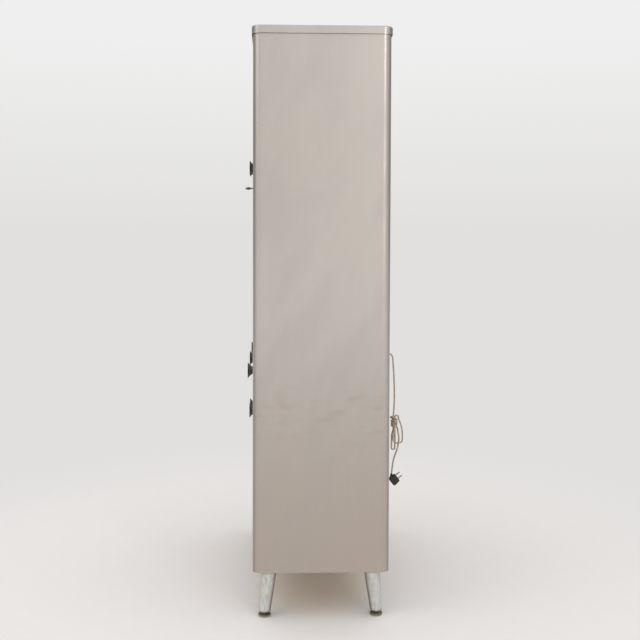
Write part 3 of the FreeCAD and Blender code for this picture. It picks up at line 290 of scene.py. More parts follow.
def relief(tree, shader, height, distance_mm, strength):
    """Raises the surface by a height from 0 to 1."""
    bump = add_node(
        tree, "ShaderNodeBump", {"Height": height}, Strength=strength, Distance=distance_mm / 1000,
    )
    tree.links.new(bump.outputs["Normal"], shader.inputs["Normal"])


def combined(tree, operation, first, second=0.0):
    """The result of a math node's operation on one value or two."""
    return add_node(tree, "ShaderNodeMath", {0: first, 1: second}, operation=operation).outputs[0]


def multiplied(tree, first, second):
    """The product of two values."""
    return combined(tree, "MULTIPLY", first, second)


def parts_of(tree, vector):
    """The X, Y and Z of a vector."""
    return add_node(tree, "ShaderNodeSeparateXYZ", {"Vector": vector}).outputs


def from_middle(tree, parts):
    """How far a place lies behind the cabinet's middle plane."""
    return combined(tree, "SUBTRACT", parts["Y"], MIDDLE_Y)


def darker(colour, share):
    """The colour with that share of its light."""
    return tuple(c * share for c in colour[:3]) + (1.0,)


def rusted_band(tree, place, height):
    """Where rust-brown has come through: soft patches, 70 mm wide and 24 high, in a band across the sheet."""
    band = multiplied(
        tree,
        ranged(tree, height, 0.46, 0.62, 0.0, 1.0, smooth=True),
        ranged(tree, height, 0.76, 0.62, 0.0, 1.0, smooth=True),
    )
    patches = noise_at(tree, place, (70, 70, 24), detail=5.0)
    return multiplied(tree, band, ranged(tree, patches, 0.50, 0.78, 0.0, 0.30))


def shaded_bends(tree, parts):
    """Painted shade: darkens the upright bends of the side panels over about 10 mm, standing in for the dark
    room they reflect.
    """
    depth = combined(tree, "ABSOLUTE", from_middle(tree, parts))
    across = combined(tree, "ABSOLUTE", parts["X"])
    return multiplied(
        tree,
        ranged(tree, depth, 0.190, 0.200, 0.0, 0.60, smooth=True),
        ranged(tree, across, 0.400, 0.412, 0.0, 1.0, smooth=True),
    )


def lacquered_steel(colours, name="linished_lacquered_steel", tone=1.0):
    # Mild steel sheet, linished upright and lacquered: a satin warm grey, cloudy where the lacquer has
    # thinned, browner and darker low down as yellowed lacquer with painted shade, darker high up as painted
    # shade, with fine upright hairlines that break the highlights.
    material, tree, shader, place = new_material(name)
    parts = parts_of(tree, place)
    height = parts["Z"]
    # Clouds where the lacquer was wiped on: 95 by 300 mm and slanting on the sides, 150 by 300 on the front
    haze = noise_at(tree, place, (150, 95, 300), detail=3.0, lean=24)
    # Soft upright bands, left by the linishing belt as it was moved across the sheet
    belt = noise_at(tree, place, (28, 28, 900), detail=2.0)
    # Linishing marks are about 0.3 mm apart and are drawn 2.5 mm apart, so that they show.
    hairline = noise_at(tree, place, (2.5, 2.5, 260), detail=4.0, roughness=0.65)
    clean = darker(to_linear(colours.steel), tone)
    # The colour low on the sheet, partly yellowed lacquer and partly painted shade
    low_tone = darker(to_linear(colours.steel_aged_and_shaded), tone)
    # A darker colour shared by the dull lacquer of the belt bands and clouds and by the painted shade high up
    dull_and_shaded = darker(clean, 0.72)
    # Painted shade with yellowed lacquer: the sheet browns and darkens from 0.95 m down to 0.15 m
    sheet = blended(tree, ranged(tree, height, 0.95, 0.15, 0.0, 0.95, smooth=True), clean, low_tone)
    # Painted shade high up: the sheet darkens from 0.85 m to 1.45 m
    sheet = blended(tree, ranged(tree, height, 0.85, 1.45, 0.0, 0.54, smooth=True), sheet, dull_and_shaded)
    sheet = blended(tree, ranged(tree, belt, 0.35, 0.65, 0.0, 0.05, smooth=True), sheet, dull_and_shaded)
    sheet = blended(tree, ranged(tree, haze, 0.38, 0.68, 0.0, 0.28, smooth=True), sheet, dull_and_shaded)
    sheet = blended(tree, ranged(tree, hairline, 0.35, 0.7, 0.0, 0.09), sheet, darker(clean, 1.18))
    sheet = blended(tree, rusted_band(tree, place, height), sheet, darker(to_linear("A88B68"), tone))
    # Painted shade on the upright bends, darkened to 35 % of the clean colour
    sheet = blended(tree, shaded_bends(tree, parts), sheet, darker(clean, 0.35))
    tree.links.new(sheet, shader.inputs["Base Color"])
    shader.inputs["Metallic"].default_value = 0.82
    gloss = ranged(tree, haze, 0.3, 0.7, 0.32, 0.46)
    tree.links.new(gloss, shader.inputs["Roughness"])
    relief(tree, shader, hairline, 0.04, 0.25)
    return material


def zinc_plate(name="bright_zinc_plate"):
    # Bright zinc plating on pressed steel: a cool silver with the faint bluish clouding of passivation.
    material, tree, shader, place = new_material(name)
    cloud = noise_at(tree, place, (12, 12, 12), detail=4.0)
    colour = blended(tree, ranged(tree, cloud, 0.35, 0.7, 0.0, 1.0), to_linear("C3C7CA"), to_linear("9AA3AC"))
    tree.links.new(colour, shader.inputs["Base Color"])
    shader.inputs["Metallic"].default_value = 1.0
    tree.links.new(ranged(tree, cloud, 0.3, 0.7, 0.28, 0.42), shader.inputs["Roughness"])
    relief(tree, shader, noise_at(tree, place, (1.5, 1.5, 1.5)), 0.02, 0.2)
    return material


def cast_aluminium(colours, name="satin_cast_aluminium"):
    # Sand-cast aluminium, belt-finished along the leg: pale and streaky, dull in the grain,
    # with painted brown shade at its top under the cabinet floor, and darker towards the foot.
    material, tree, shader, place = new_material(name)
    parts = parts_of(tree, place)
    height = parts["Z"]
    # Belt marks are drawn 2 mm apart and 60 mm long.
    streak = noise_at(tree, place, (2.2, 2.2, 60), detail=5.0, roughness=0.7)
    pale = to_linear(colours.leg)
    base = blended(tree, ranged(tree, streak, 0.36, 0.66, 0.0, 1.0), darker(pale, 0.66), pale)
    blotch = noise_at(tree, place, (9, 9, 22), detail=3.0)
    base = blended(tree, ranged(tree, blotch, 0.5, 0.75, 0.0, 0.4), base, to_linear("8F8C85"))
    # Painted shade: the top of the leg browns from 124 mm up, under the cabinet floor
    top = ranged(tree, height, 0.124, 0.136, 0.0, 0.75, smooth=True)
    base = blended(tree, top, base, to_linear("7A6650"))
    foot = ranged(tree, height, 0.022, 0.014, 0.0, 0.6, smooth=True)
    base = blended(tree, foot, base, to_linear("4A4640"))
    # Painted shade: the flanks that face the cabinet's middle are browned, as they turn away from the light.
    normal = parts_of(tree, add_node(tree, "ShaderNodeTexCoord").outputs["Normal"])
    shaded_flank = ranged(
        tree, multiplied(tree, from_middle(tree, parts), normal["Y"]), -0.085, -0.145, 0.0, 0.75, smooth=True,
    )
    base = blended(tree, shaded_flank, base, to_linear("6E5B48"))
    tree.links.new(base, shader.inputs["Base Color"])
    shader.inputs["Metallic"].default_value = 0.85
    tree.links.new(ranged(tree, streak, 0.3, 0.7, 0.52, 0.36), shader.inputs["Roughness"])
    relief(tree, shader, streak, 0.08, 0.35)
    return material


def black_japan(name="black_japanned_steel"):
    # Black japanned steel glide, paler grey in patches round the rim that meets the floor.
    material, tree, shader, place = new_material(name)
    height = parts_of(tree, place)["Z"]
    scuff = noise_at(tree, place, (4, 4, 2), detail=5.0, roughness=0.7)
    rim = ranged(tree, height, 0.0048, 0.0028, 0.0, 0.75)
    low_tone = multiplied(tree, rim, ranged(tree, scuff, 0.3, 0.55, 0.2, 1.0))
    colour = blended(tree, low_tone, to_linear("6E665B"), to_linear("B3A998"))
    tree.links.new(colour, shader.inputs["Base Color"])
    shader.inputs["Metallic"].default_value = 0.3
    tree.links.new(ranged(tree, scuff, 0.3, 0.7, 0.32, 0.55), shader.inputs["Roughness"])
    relief(tree, shader, scuff, 0.05, 0.2)
    return material


def blackened_steel(colours, name="blackened_steel"):
    # Turned steel, chemically blackened and oiled: soft dark grey, rubbed paler where fingers reach.
    material, tree, shader, place = new_material(name)
    rub = noise_at(tree, place, (7, 7, 7), detail=4.0, roughness=0.6)
    dark = to_linear(colours.knob)
    colour = blended(tree, ranged(tree, rub, 0.4, 0.72, 0.0, 0.55), dark, to_linear("8A857C"))
    tree.links.new(colour, shader.inputs["Base Color"])
    shader.inputs["Metallic"].default_value = 0.75
    tree.links.new(ranged(tree, rub, 0.3, 0.7, 0.46, 0.34), shader.inputs["Roughness"])
    relief(tree, shader, noise_at(tree, place, (0.8, 0.8, 0.8)), 0.02, 0.25)
    return material


def float_glass(name="clear_float_glass"):
    # Float glass: clear face on, green in its left and right edges, with a trace of dust on the gloss.
    material, tree, shader, place = new_material(name)
    normal = parts_of(tree, add_node(tree, "ShaderNodeTexCoord").outputs["Normal"])
    side = combined(tree, "ABSOLUTE", normal["X"])
    colour = blended(tree, ranged(tree, side, 0.5, 0.9, 0.0, 1.0), to_linear("F4F8F6"), to_linear("C4DDD1"))
    tree.links.new(colour, shader.inputs["Base Color"])
    dust = noise_at(tree, place, (60, 60, 60), detail=6.0, roughness=0.7)
    tree.links.new(ranged(tree, dust, 0.45, 0.8, 0.01, 0.09), shader.inputs["Roughness"])
    shader.inputs["IOR"].default_value = 1.52
    shader.inputs["Transmission Weight"].default_value = 1.0
    return material


def opal_glass(name="opal_lamp_glass"):
    # Opal glass tube with pressed aluminium caps: milky white, faintly grey towards its ends.
    material, tree, shader, place = new_material(name)
    reach = combined(tree, "ABSOLUTE", parts_of(tree, place)["X"])
    cap = ranged(tree, reach, 0.2622, 0.2627, 0.0, 1.0)
    aged = ranged(tree, reach, 0.20, 0.262, 0.0, 0.5, smooth=True)
    milk = blended(tree, aged, to_linear("F0EEE6"), to_linear("BDBAB2"))
    colour = blended(tree, cap, milk, to_linear("B9BABB"))
    tree.links.new(colour, shader.inputs["Base Color"])
    tree.links.new(cap, shader.inputs["Metallic"])
    film = noise_at(tree, place, (8, 8, 8))
    tree.links.new(ranged(tree, film, 0.3, 0.7, 0.18, 0.30), shader.inputs["Roughness"])
    shader.inputs["IOR"].default_value = 1.5
    return material


def baked_enamel(colours, name="white_baked_enamel"):
    # White stoving enamel on thin steel: smooth, slightly yellowed, with the ripple called orange peel.
    material, tree, shader, place = new_material(name)
    age = noise_at(tree, place, (40, 40, 40), detail=3.0)
    white = to_linear(colours.enamel)
    colour = blended(tree, ranged(tree, age, 0.35, 0.7, 0.0, 0.6), white, darker(to_linear("DDD6C4"), 0.95))
    tree.links.new(colour, shader.inputs["Base Color"])
    tree.links.new(ranged(tree, age, 0.3, 0.7, 0.28, 0.4), shader.inputs["Roughness"])
    # Orange peel is about 1.5 mm from crest to crest.
    relief(tree, shader, noise_at(tree, place, (1.5, 1.5, 1.5), detail=1.0), 0.02, 0.3)
    return material


def moulded_plastic(colours, name="black_moulded_phenolic"):
    # Compression-moulded phenolic: near black, a low sheen with faint flow marks and a fine matt grain.
    material, tree, shader, place = new_material(name)
    flow = noise_at(tree, place, (6, 3, 9), detail=3.0)
    black = to_linear(colours.plastic)
    colour = blended(tree, ranged(tree, flow, 0.4, 0.7, 0.0, 0.7), black, to_linear("2B2927"))
    tree.links.new(colour, shader.inputs["Base Color"])
    tree.links.new(ranged(tree, flow, 0.3, 0.7, 0.38, 0.52), shader.inputs["Roughness"])
    shader.inputs["IOR"].default_value = 1.58
    # Moulding grain is about 0.2 mm and is drawn at 0.6 mm.
    relief(tree, shader, noise_at(tree, place, (0.6, 0.6, 0.6), detail=2.0), 0.03, 0.4)
    return material


def old_rubber(name="aged_black_rubber"):
    # Vulcanised rubber gone dull: charcoal with a dry grey bloom in patches.
    material, tree, shader, place = new_material(name)
    bloom = noise_at(tree, place, (10, 10, 24), detail=4.0)
    colour = blended(tree, ranged(tree, bloom, 0.42, 0.7, 0.0, 0.6), to_linear("2B2B2A"), to_linear("52504D"))
    tree.links.new(colour, shader.inputs["Base Color"])
    tree.links.new(ranged(tree, bloom, 0.3, 0.7, 0.6, 0.8), shader.inputs["Roughness"])
    relief(tree, shader, noise_at(tree, place, (0.5, 0.5, 0.5)), 0.03, 0.3)
    return material


def cream_jacket(colours, name="aged_cream_pvc"):
    # Cream PVC jacket, extruded and aged: soft sheen, yellowed, with brown handling dirt in patches.
    material, tree, shader, place = new_material(name)
    dirt = noise_at(tree, place, (9, 9, 14), detail=4.0, roughness=0.6)
    cream = to_linear(colours.cord)
    colour = blended(tree, ranged(tree, dirt, 0.42, 0.72, 0.0, 0.75), cream, to_linear("6E5D4C"))
    tree.links.new(colour, shader.inputs["Base Color"])
    tree.links.new(ranged(tree, dirt, 0.3, 0.7, 0.40, 0.58), shader.inputs["Roughness"])
    shader.inputs["IOR"].default_value = 1.53
    relief(tree, shader, noise_at(tree, place, (0.7, 0.7, 0.7)), 0.02, 0.3)
    return material


def nickel_brass(name="nickelled_brass"):
    # Nickel-plated brass blades: silver, with warm brass showing where sockets have scraped them.
    material, tree, shader, place = new_material(name)
    scrape = noise_at(tree, place, (3, 0.8, 0.8), detail=3.0)
    bared = ranged(tree, scrape, 0.45, 0.65, 0.0, 0.8)
    colour = blended(tree, bared, to_linear("8F8B80"), to_linear("80704C"))
    tree.links.new(colour, shader.inputs["Base Color"])
    shader.inputs["Metallic"].default_value = 1.0
    tree.links.new(ranged(tree, scrape, 0.3, 0.7, 0.25, 0.42), shader.inputs["Roughness"])
    relief(tree, shader, scrape, 0.02, 0.3)
    return material


def finish_named(name):
    """The finish of that name, which the finishes' operator has made."""
    return bpy.data.materials[name]


def dress_nodes(material, *names):
    """Gives carried-over nodes a finish."""
    for name in names:
        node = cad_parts[name]
        node.data.materials.clear()
        node.data.materials.append(material)


def lathe(bm, profile, steps, place):
    """Turns (radius, height) pairs about the local Z axis and sets the result at place."""
    rings = []
    for radius, height in profile:
        ring = []
        for n in range(steps if radius else 1):
            turn = 2 * math.pi * n / steps
            spot = Vector((radius * math.cos(turn), radius * math.sin(turn), height))
            ring.append(bm.verts.new(place @ spot))
        rings.append(ring)
    for lower, upper in zip(rings, rings[1:]):
        for n in range(steps):
            loop = [lower[n % len(lower)], lower[(n + 1) % len(lower)]]
            loop += [upper[(n + 1) % len(upper)], upper[n % len(upper)]]
            corners = list(dict.fromkeys(loop))
            if len(corners) > 2:
                bm.faces.new(corners)


def merged(bm, part):
    """Adds one mesh in the making to another, and frees it."""
    mesh = bpy.data.meshes.new("part")
    part.to_mesh(mesh)
    part.free()
    bm.from_mesh(mesh)
    bpy.data.meshes.remove(mesh)


def screw_head(bm, place, radius, height):
    """A pan-head screw with a cross recess, its seat at the local origin and its head along local Z."""
    head = bmesh.new()
    profile = (
        (radius * 0.96, 0), (radius, height * 0.3), (radius * 0.9, height * 0.72),
        (radius * 0.62, height * 0.96), (0, height),
    )
    lathe(head, profile, 20, Matrix())
    width = radius * 0.13
    reach = radius * 0.52
    for axis in (Vector((1, 0, 0)), Vector((0, 1, 0))):
        for distance in (-reach, -width, width, reach):
            geometry = head.verts[:] + head.edges[:] + head.faces[:]
            bmesh.ops.bisect_plane(head, geom=geometry, plane_co=axis * distance, plane_no=axis)
    recess = []
    for face in head.faces:
        spot = face.calc_center_median()
        across = sorted((abs(spot.x), abs(spot.y)))
        if spot.z > height * 0.7 and across[0] < width and across[1] < reach:
            recess.append(face)
    sunk = bmesh.ops.extrude_face_region(head, geom=recess)["geom"]
    bmesh.ops.delete(head, geom=recess, context="FACES")
    for item in sunk:
        if isinstance(item, bmesh.types.BMVert):
            item.co.z -= height * 0.55
    head.transform(place)
    merged(bm, head)


def closed_bead(bm, points, radius, sides=8):
    """A round bead along a closed run of points that lie in one plane."""
    count = len(points)
    normal = (points[1] - points[0]).cross(points[2] - points[1]).normalized()
    turns = [2 * math.pi * k / sides for k in range(sides)]
    rings = []
    for n, point in enumerate(points):
        across = (points[(n + 1) % count] - points[n - 1]).normalized().cross(normal)
        spots = [point + (across * math.cos(a) + normal * math.sin(a)) * radius for a in turns]
        rings.append([bm.verts.new(spot) for spot in spots])
    for n, lower in enumerate(rings):
        upper = rings[(n + 1) % count]
        for k in range(sides):
            bm.faces.new((lower[k], lower[(k + 1) % sides], upper[(k + 1) % sides], upper[k]))


def rounded_ring(x, z, y, corner, steps=6):
    """Points of a rectangle with round corners that stands in the XZ plane at depth y."""
    points = []
    corners = ((x[1], z[1], 0), (x[0], z[1], 90), (x[0], z[0], 180), (x[1], z[0], 270))
    for cx, cz, first in corners:
        px = cx - corner if cx == x[1] else cx + corner
        pz = cz - corner if cz == z[1] else cz + corner
        for n in range(steps + 1):
            angle = math.radians(first + 90 * n / steps)
            points.append(Vector((px + corner * math.cos(angle), y, pz + corner * math.sin(angle))))
    return points


def block(bm, low, high, bevel):
    """A box between two corners with rounded edges."""
    middle = (Vector(low) + Vector(high)) / 2
    size = Matrix.Diagonal((*(Vector(high) - Vector(low)), 1))
    made = bmesh.ops.create_cube(bm, size=1.0, matrix=Matrix.Translation(middle) @ size)
    edges = list({edge for vertex in made["verts"] for edge in vertex.link_edges})
    bmesh.ops.bevel(bm, geom=edges, offset=bevel, segments=2, affect="EDGES", profile=0.6)


def piece(name, bm, material, body, angle=35):
    """Makes an object of a mesh that rides on a body, smooth except at its sharp edges."""
    bmesh.ops.recalc_face_normals(bm, faces=bm.faces[:])
    mesh = bpy.data.meshes.new(name)
    bm.to_mesh(mesh)
    bm.free()
    mesh.shade_smooth()
    mesh.set_sharp_from_angle(angle=math.radians(angle))
    mesh.materials.append(material)
    obj = bpy.data.objects.new(name, mesh)
    bpy.context.scene.collection.objects.link(obj)
    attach(obj, body)
    return obj


def facing(origin, direction, spin=0.0):
    """A place whose local Z points along direction."""
    turn = Vector(direction).to_track_quat("Z", "Y").to_matrix().to_4x4()
    return Matrix.Translation(Vector(origin)) @ turn @ Matrix.Rotation(math.radians(spin), 4, "Z")


class CABINET_OT_finishes(bpy.types.Operator):
    """Make the finishes and give them to the cabinet's own solids"""

    bl_idname = "cabinet.finishes"
    bl_label = "Finishes"

    def execute(self, context):
        colours = context.scene.cabinet_colours
        steel = lacquered_steel(colours)
        # A copy 6 % darker for the inside parts: painted shade of the cabinet's interior
        inner = lacquered_steel(colours, "linished_steel_inside", tone=0.94)
        dress_nodes(
            steel, "top_cap", "side_panel_right", "side_panel_left", "front_rails", "back_panel",
            "upper_door_frame_right", "upper_door_frame_left", "lower_door_pan_right", "lower_door_pan_left",
            "drawer_front_left", "drawer_front_middle", "drawer_front_right",
        )
        dress_nodes(
            inner, "floor_pan", "drawer_deck", "display_floor", "ceiling_panel", "drawer_partitions",
            "cupboard_shelf", "upper_door_liner_right", "upper_door_liner_left", "lower_door_liner_right",
            "lower_door_liner_left", "drawer_box_left", "drawer_box_middle", "drawer_box_right",
        )
        dress_nodes(
            zinc_plate(), "drawer_runners", "leg_brackets", "pivot_pins", "shelf_standards", "shelf_supports",
        )
        dress_nodes(cast_aluminium(colours), "legs")
        dress_nodes(black_japan(), "foot_front_left", "foot_front_right", "foot_back_left", "foot_back_right")
        dress_nodes(
            blackened_steel(colours), "upper_door_knob_right", "upper_door_knob_left",
            "lower_door_knob_right", "lower_door_knob_left", "drawer_knob_left", "drawer_knob_middle",
            "drawer_knob_right", "lock_body", "lock_plug", "lock_key",
        )
        dress_nodes(float_glass(), "upper_door_glass_right", "upper_door_glass_left", "glass_shelves")
        dress_nodes(opal_glass(), "lamp_tube")
        dress_nodes(baked_enamel(colours), "lamp_housing", "cable_duct")
        dress_nodes(moulded_plastic(colours), "door_catches", "lamp_switch", "plug_body")
        dress_nodes(old_rubber(), "cord_relief")
        dress_nodes(nickel_brass(), "plug_blades")
        cream_jacket(colours)
        return {"FINISHED"}


def cord_line(sizes):
    """The cord's control points: fall, two loops, the winding round their necks, and the tail."""
    winding = []
    for degrees in range(*WRAP_ANGLES):
        angle = math.radians(degrees)
        rise = sizes.wrap_pitch / (2 * math.pi) * (angle - math.radians(WRAP_START))
        across = Vector((math.cos(angle), math.sin(angle), 0)) * sizes.wrap_radius
        winding.append(Vector((CORD_X, HANK_Y, WRAP_TOP + rise)) + across)
    fall = [(CORD_X, y, z) for y, z in CORD_FALL]
    tail = [(CORD_X, y, z) for y, z in CORD_TAIL]
    loops = CORD_NARROW_LOOP + CORD_CREST + CORD_WIDE_LOOP + CORD_WRAP_LEAD
    return [Vector(point) for point in (*fall, *loops, *winding, *CORD_TAIL_LEAD, *tail)]


class CABINET_OT_cord(bpy.types.Operator):
    """Lay the cord from the back panel through its tied hank to the plug"""

    bl_idname = "cabinet.cord"
    bl_label = "Cord"

    def execute(self, context):
        sizes = context.scene.cabinet_sizes
        line = cord_line(sizes)
        curve = bpy.data.curves.new("cord", "CURVE")
        curve.dimensions = "3D"
        curve.bevel_depth = sizes.cord_diameter / 2
        curve.bevel_resolution = 5
        curve.resolution_u = 10
        curve.use_fill_caps = True
        spline = curve.splines.new("NURBS")
        spline.points.add(len(line) - 1)
        for point, place in zip(spline.points, line):
            point.co = (*place, 1)
        spline.order_u = 3
        spline.use_endpoint_u = True
        curve.materials.append(finish_named("aged_cream_pvc"))
        cord = bpy.data.objects.new("cord", curve)
        context.scene.collection.objects.link(cord)
        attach(cord, "carcass")
        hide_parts("power_cord", "cord_hank", "cord_tail")
        return {"FINISHED"}


class CABINET_OT_plug(bpy.types.Operator):
    """Mould grip ribs on both sides of the plug"""

    bl_idname = "cabinet.plug"
    bl_label = "Plug ribs"

    def execute(self, context):
        bm = bmesh.new()
        tilt = Matrix.Rotation(math.radians(PLUG_TILT), 4, "X")
        place = Matrix.Translation((CORD_X, PLUG_Y, PLUG_Z)) @ tilt
        for n in range(RIB_COUNT):
            along = RIB_FIRST + n * RIB_PITCH
            for side in (-1, 1):
                near, far = sorted((side * RIB_FACE, side * (RIB_FACE + RIB_HEIGHT)))
                rib = bmesh.new()
                low = (near, along - RIB_HALF_WIDTH, RIB_REACH[0])
                high = (far, along + RIB_HALF_WIDTH, RIB_REACH[1])
                block(rib, low, high, RIB_EDGE)
                rib.transform(place)
                merged(bm, rib)
        piece("plug_ribs", bm, finish_named("black_moulded_phenolic"), "carcass")
        return {"FINISHED"}


class CABINET_OT_screws(bpy.types.Operator):
    """Set the pan-head screws of the back panel and of the shelf standards"""

    bl_idname = "cabinet.screws"
    bl_label = "Screws"

    def execute(self, context):
        sizes = context.scene.cabinet_sizes
        bm = bmesh.new()
        radius = sizes.screw_radius
        spots = [(side * BACK_ROW_X, z) for side in (-1, 1) for z in BACK_ROW_HEIGHTS]
        spots += [(x, z) for x in BACK_LEVEL_XS for z in BACK_LEVEL_HEIGHTS]
        for n, (x, z) in enumerate(spots):
            screw_head(bm, facing((x, BACK_Y, z), (0, 1, 0), 37 * n), radius, radius * 0.55)
        piece("back_screws", bm, finish_named("bright_zinc_plate"), "carcass")
        bm = bmesh.new()
        for side in (-1, 1):
            for y in STANDARD_Y:
                for n, z in enumerate(STANDARD_SCREW_HEIGHTS):
                    place = facing((side * STANDARD_X, y, z), (-side, 0, 0), 50 * n)
                    screw_head(bm, place, *STANDARD_SCREW)
        piece("standard_screws", bm, finish_named("bright_zinc_plate"), "carcass")
        return {"FINISHED"}


class CABINET_OT_glazing(bpy.types.Operator):
    """Run the rubber glazing beads round the door glass"""

    bl_idname = "cabinet.glazing"
    bl_label = "Glazing beads"

    def execute(self, context):
        radius = context.scene.cabinet_sizes.gasket_radius
        inset = radius * 0.7
        rubber = finish_named("aged_black_rubber")
        z = (WINDOW_Z[0] + inset, WINDOW_Z[1] - inset)
        for name, side in (("right", 1), ("left", -1)):
            x = tuple(sorted((side * (WINDOW_X[0] + inset), side * (WINDOW_X[1] - inset))))
            bm = bmesh.new()
            for y in (GLASS_FRONT_Y - radius * 0.8, GLASS_BACK_Y + radius * 0.8):
                closed_bead(bm, rounded_ring(x, z, y, WINDOW_CORNER - inset), radius)
            piece(f"glazing_bead_{name}", bm, rubber, f"upper_door_{name}")
        return {"FINISHED"}


class CABINET_OT_lamp(bpy.types.Operator):
    """Fit the lamp holders' bezels and the fixing screws of the lamp channel"""

    bl_idname = "cabinet.lamp"
    bl_label = "Lamp fittings"

    def execute(self, context):
        bm = bmesh.new()
        for side in (-1, 1):
            place = facing((side * (LAMP_HOLDER_X - 0.0002), LAMP_Y, LAMP_Z), (-side, 0, 0))
            lathe(bm, BEZEL_PROFILE, 32, place)
        piece("lamp_bezels", bm, finish_named("black_moulded_phenolic"), "carcass")
        bm = bmesh.new()
        for n, x in enumerate(LAMP_SCREW_XS):
            screw_head(bm, facing((x, LAMP_Y, LAMP_UNDERSIDE), (0, 0, -1), 40 * n), *LAMP_SCREW)
        piece("lamp_screws", bm, finish_named("bright_zinc_plate"), "carcass")
        return {"FINISHED"}


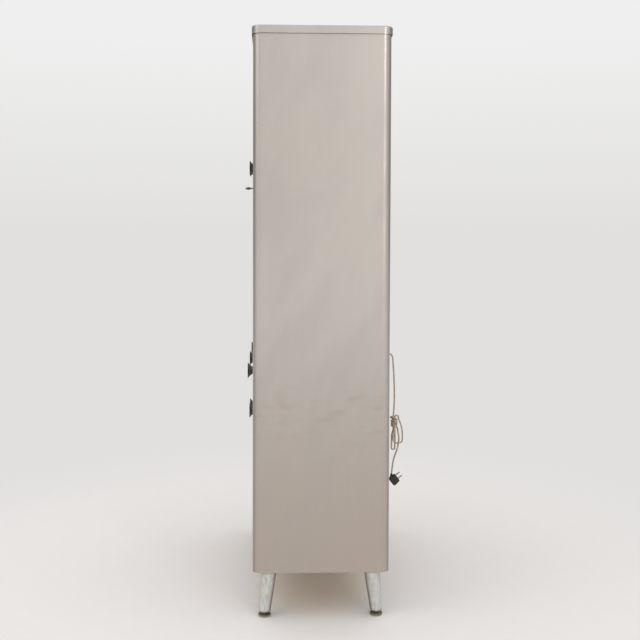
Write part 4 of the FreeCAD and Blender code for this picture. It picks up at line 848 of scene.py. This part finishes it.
class CABINET_OT_stage(bpy.types.Operator):
    """Set up the pale floor, the soft studio light and the camera"""

    bl_idname = "cabinet.stage"
    bl_label = "Studio"

    def execute(self, context):
        scene = context.scene
        scene.view_settings.view_transform = "Standard"
        self.floor(scene)
        self.world(scene)
        for softbox in SOFTBOXES:
            self.lamp(scene, *softbox)
        self.camera(scene)
        return {"FINISHED"}

    def lamp(self, scene, name, place, target, size, power):
        data = bpy.data.lights.new(name, "AREA")
        data.shape = "RECTANGLE"
        data.size, data.size_y = size
        data.energy = power
        lamp = bpy.data.objects.new(name, data)
        lamp.location = place
        lamp.rotation_euler = (Vector(target) - Vector(place)).to_track_quat("-Z", "Y").to_euler()
        scene.collection.objects.link(lamp)

    def floor(self, scene):
        bm = bmesh.new()
        bmesh.ops.create_circle(bm, cap_ends=True, segments=96, radius=FLOOR_RADIUS)
        mesh = bpy.data.meshes.new("studio_floor")
        bm.to_mesh(mesh)
        bm.free()
        mesh.materials.append(self.floor_paint(to_linear(scene.cabinet_colours.floor)))
        floor = bpy.data.objects.new("studio_floor", mesh)
        scene.collection.objects.link(floor)

    def floor_paint(self, paint):
        # Painted studio floor: matt, near white, fading into the backdrop's colour away from the cabinet.
        material, tree, shader, place = new_material("matt_studio_paint")
        tone = noise_at(tree, place, (60, 60, 60), detail=4.0)
        colour = blended(tree, ranged(tree, tone, 0.3, 0.7, 0.0, 1.0), paint, darker(paint, 0.985))
        # Painted warm bounce light: the paint is lighter and warmer in the shade under the cabinet, which
        # stands 840 by 400 mm.
        footprint = add_node(tree, "ShaderNodeMapping", {"Vector": place}, Scale=(1.0, 2.1, 1.0)).outputs[0]
        painted_bounce = ranged(tree, self.distance(tree, footprint), 0.26, 0.50, 1.0, 0.0, smooth=True)
        colour = blended(tree, painted_bounce, colour, to_linear("EFE4D4"))
        tree.links.new(colour, shader.inputs["Base Color"])
        shader.inputs["Roughness"].default_value = 0.75
        away = ranged(tree, self.distance(tree, place), 0.75, 1.9, 0.0, 1.0, smooth=True)
        rays = add_node(tree, "ShaderNodeLightPath").outputs
        direct = combined(tree, "ADD", rays["Is Camera Ray"], rays["Is Glossy Ray"])
        seen = combined(tree, "MAXIMUM", direct, rays["Is Transmission Ray"])
        share = multiplied(tree, away, seen)
        glow = add_node(tree, "ShaderNodeEmission", Strength=1.0, Color=to_linear(BACKDROP)).outputs[0]
        mixed = add_node(tree, "ShaderNodeMixShader", {0: share, 1: shader.outputs[0], 2: glow})
        tree.links.new(mixed.outputs[0], tree.nodes["Material Output"].inputs["Surface"])
        return material

    def distance(self, tree, place):
        """How far a place lies from the origin."""
        return add_node(tree, "ShaderNodeVectorMath", {0: place}, operation="LENGTH").outputs["Value"]

    def world(self, scene):
        world = bpy.data.worlds.new("studio")
        world.use_nodes = True
        scene.world = world
        tree = world.node_tree
        tree.nodes.clear()
        sky = parts_of(tree, add_node(tree, "ShaderNodeTexCoord").outputs["Generated"])
        rise = ranged(tree, sky["Z"], 0.0, 0.2, 0.0, 1.0)
        backdrop = blended(tree, rise, to_linear(BACKDROP), to_linear("EFEFEF"))
        # The room is bright on the cabinet's right and overhead, and dim on its left.
        beside = ranged(tree, sky["X"], -0.2, 0.9, 0.36, 1.08, smooth=True)
        above = ranged(tree, sky["Z"], 0.08, 0.4, 0.0, 1.05, smooth=True)
        level = combined(tree, "MAXIMUM", beside, above)
        warmth = ranged(tree, sky["Z"], 0.05, 0.5, 0.0, 1.0)
        tint = blended(tree, warmth, to_linear("FFF5E6"), to_linear("FAFCFF"))
        room = add_node(tree, "ShaderNodeBackground", {"Strength": level, "Color": tint})
        shown = add_node(tree, "ShaderNodeBackground", {"Color": backdrop}, Strength=1.0)
        rays = add_node(tree, "ShaderNodeLightPath").outputs
        seen = combined(tree, "MAXIMUM", rays["Is Camera Ray"], rays["Is Transmission Ray"])
        mixed = add_node(tree, "ShaderNodeMixShader", {0: seen, 1: room.outputs[0], 2: shown.outputs[0]})
        add_node(tree, "ShaderNodeOutputWorld", {"Surface": mixed.outputs[0]})

    def camera(self, scene):
        data = bpy.data.cameras.new("camera")
        data.sensor_width = 36
        data.lens = CAMERA_LENS
        data.shift_x, data.shift_y = CAMERA_SHIFT
        data.clip_start = 0.1
        data.clip_end = 100
        camera = bpy.data.objects.new("camera", data)
        camera.location = (CAMERA_X, CAMERA_Y, scene.cabinet_sizes.camera_height)
        swing = math.radians(CAMERA_SWING)
        tilt = math.radians(CAMERA_TILT)
        ahead = Vector((-math.cos(swing) * math.cos(tilt), math.sin(swing) * math.cos(tilt), -math.sin(tilt)))
        aim = ahead.to_track_quat("-Z", "Y").to_matrix().to_4x4()
        camera.rotation_euler = (aim @ Matrix.Rotation(math.radians(CAMERA_ROLL), 4, "Z")).to_euler()
        scene.collection.objects.link(camera)
        scene.camera = camera


class CABINET_PT_sidebar(bpy.types.Panel):
    """Shows the cabinet's sizes and colours, and the buttons of its operators"""

    bl_idname = "CABINET_PT_sidebar"
    bl_label = "Display cabinet"
    bl_space_type = "VIEW_3D"
    bl_region_type = "UI"
    bl_category = "Cabinet"

    def draw(self, context):
        column = self.layout.column()
        for group in (context.scene.cabinet_sizes, context.scene.cabinet_colours):
            for name in group.__annotations__:
                column.prop(group, name)
        for operator in OPERATORS:
            column.operator(operator.bl_idname)


OPERATORS = (
    CABINET_OT_finishes, CABINET_OT_plug, CABINET_OT_cord, CABINET_OT_screws, CABINET_OT_glazing,
    CABINET_OT_lamp, CABINET_OT_stage,
)
CLASSES = (CabinetSizes, CabinetColours, *OPERATORS, CABINET_PT_sidebar)


def register():
    for kind in CLASSES:
        bpy.utils.register_class(kind)
    bpy.types.Scene.cabinet_sizes = bpy.props.PointerProperty(type=CabinetSizes)
    bpy.types.Scene.cabinet_colours = bpy.props.PointerProperty(type=CabinetColours)


def unregister():
    del bpy.types.Scene.cabinet_colours
    del bpy.types.Scene.cabinet_sizes
    for kind in reversed(CLASSES):
        bpy.utils.unregister_class(kind)


def main():
    register()
    bpy.ops.cabinet.finishes()
    bpy.ops.cabinet.plug()
    bpy.ops.cabinet.cord()
    bpy.ops.cabinet.screws()
    bpy.ops.cabinet.glazing()
    bpy.ops.cabinet.lamp()
    bpy.ops.cabinet.stage()


if __name__ == "__main__":
    main()
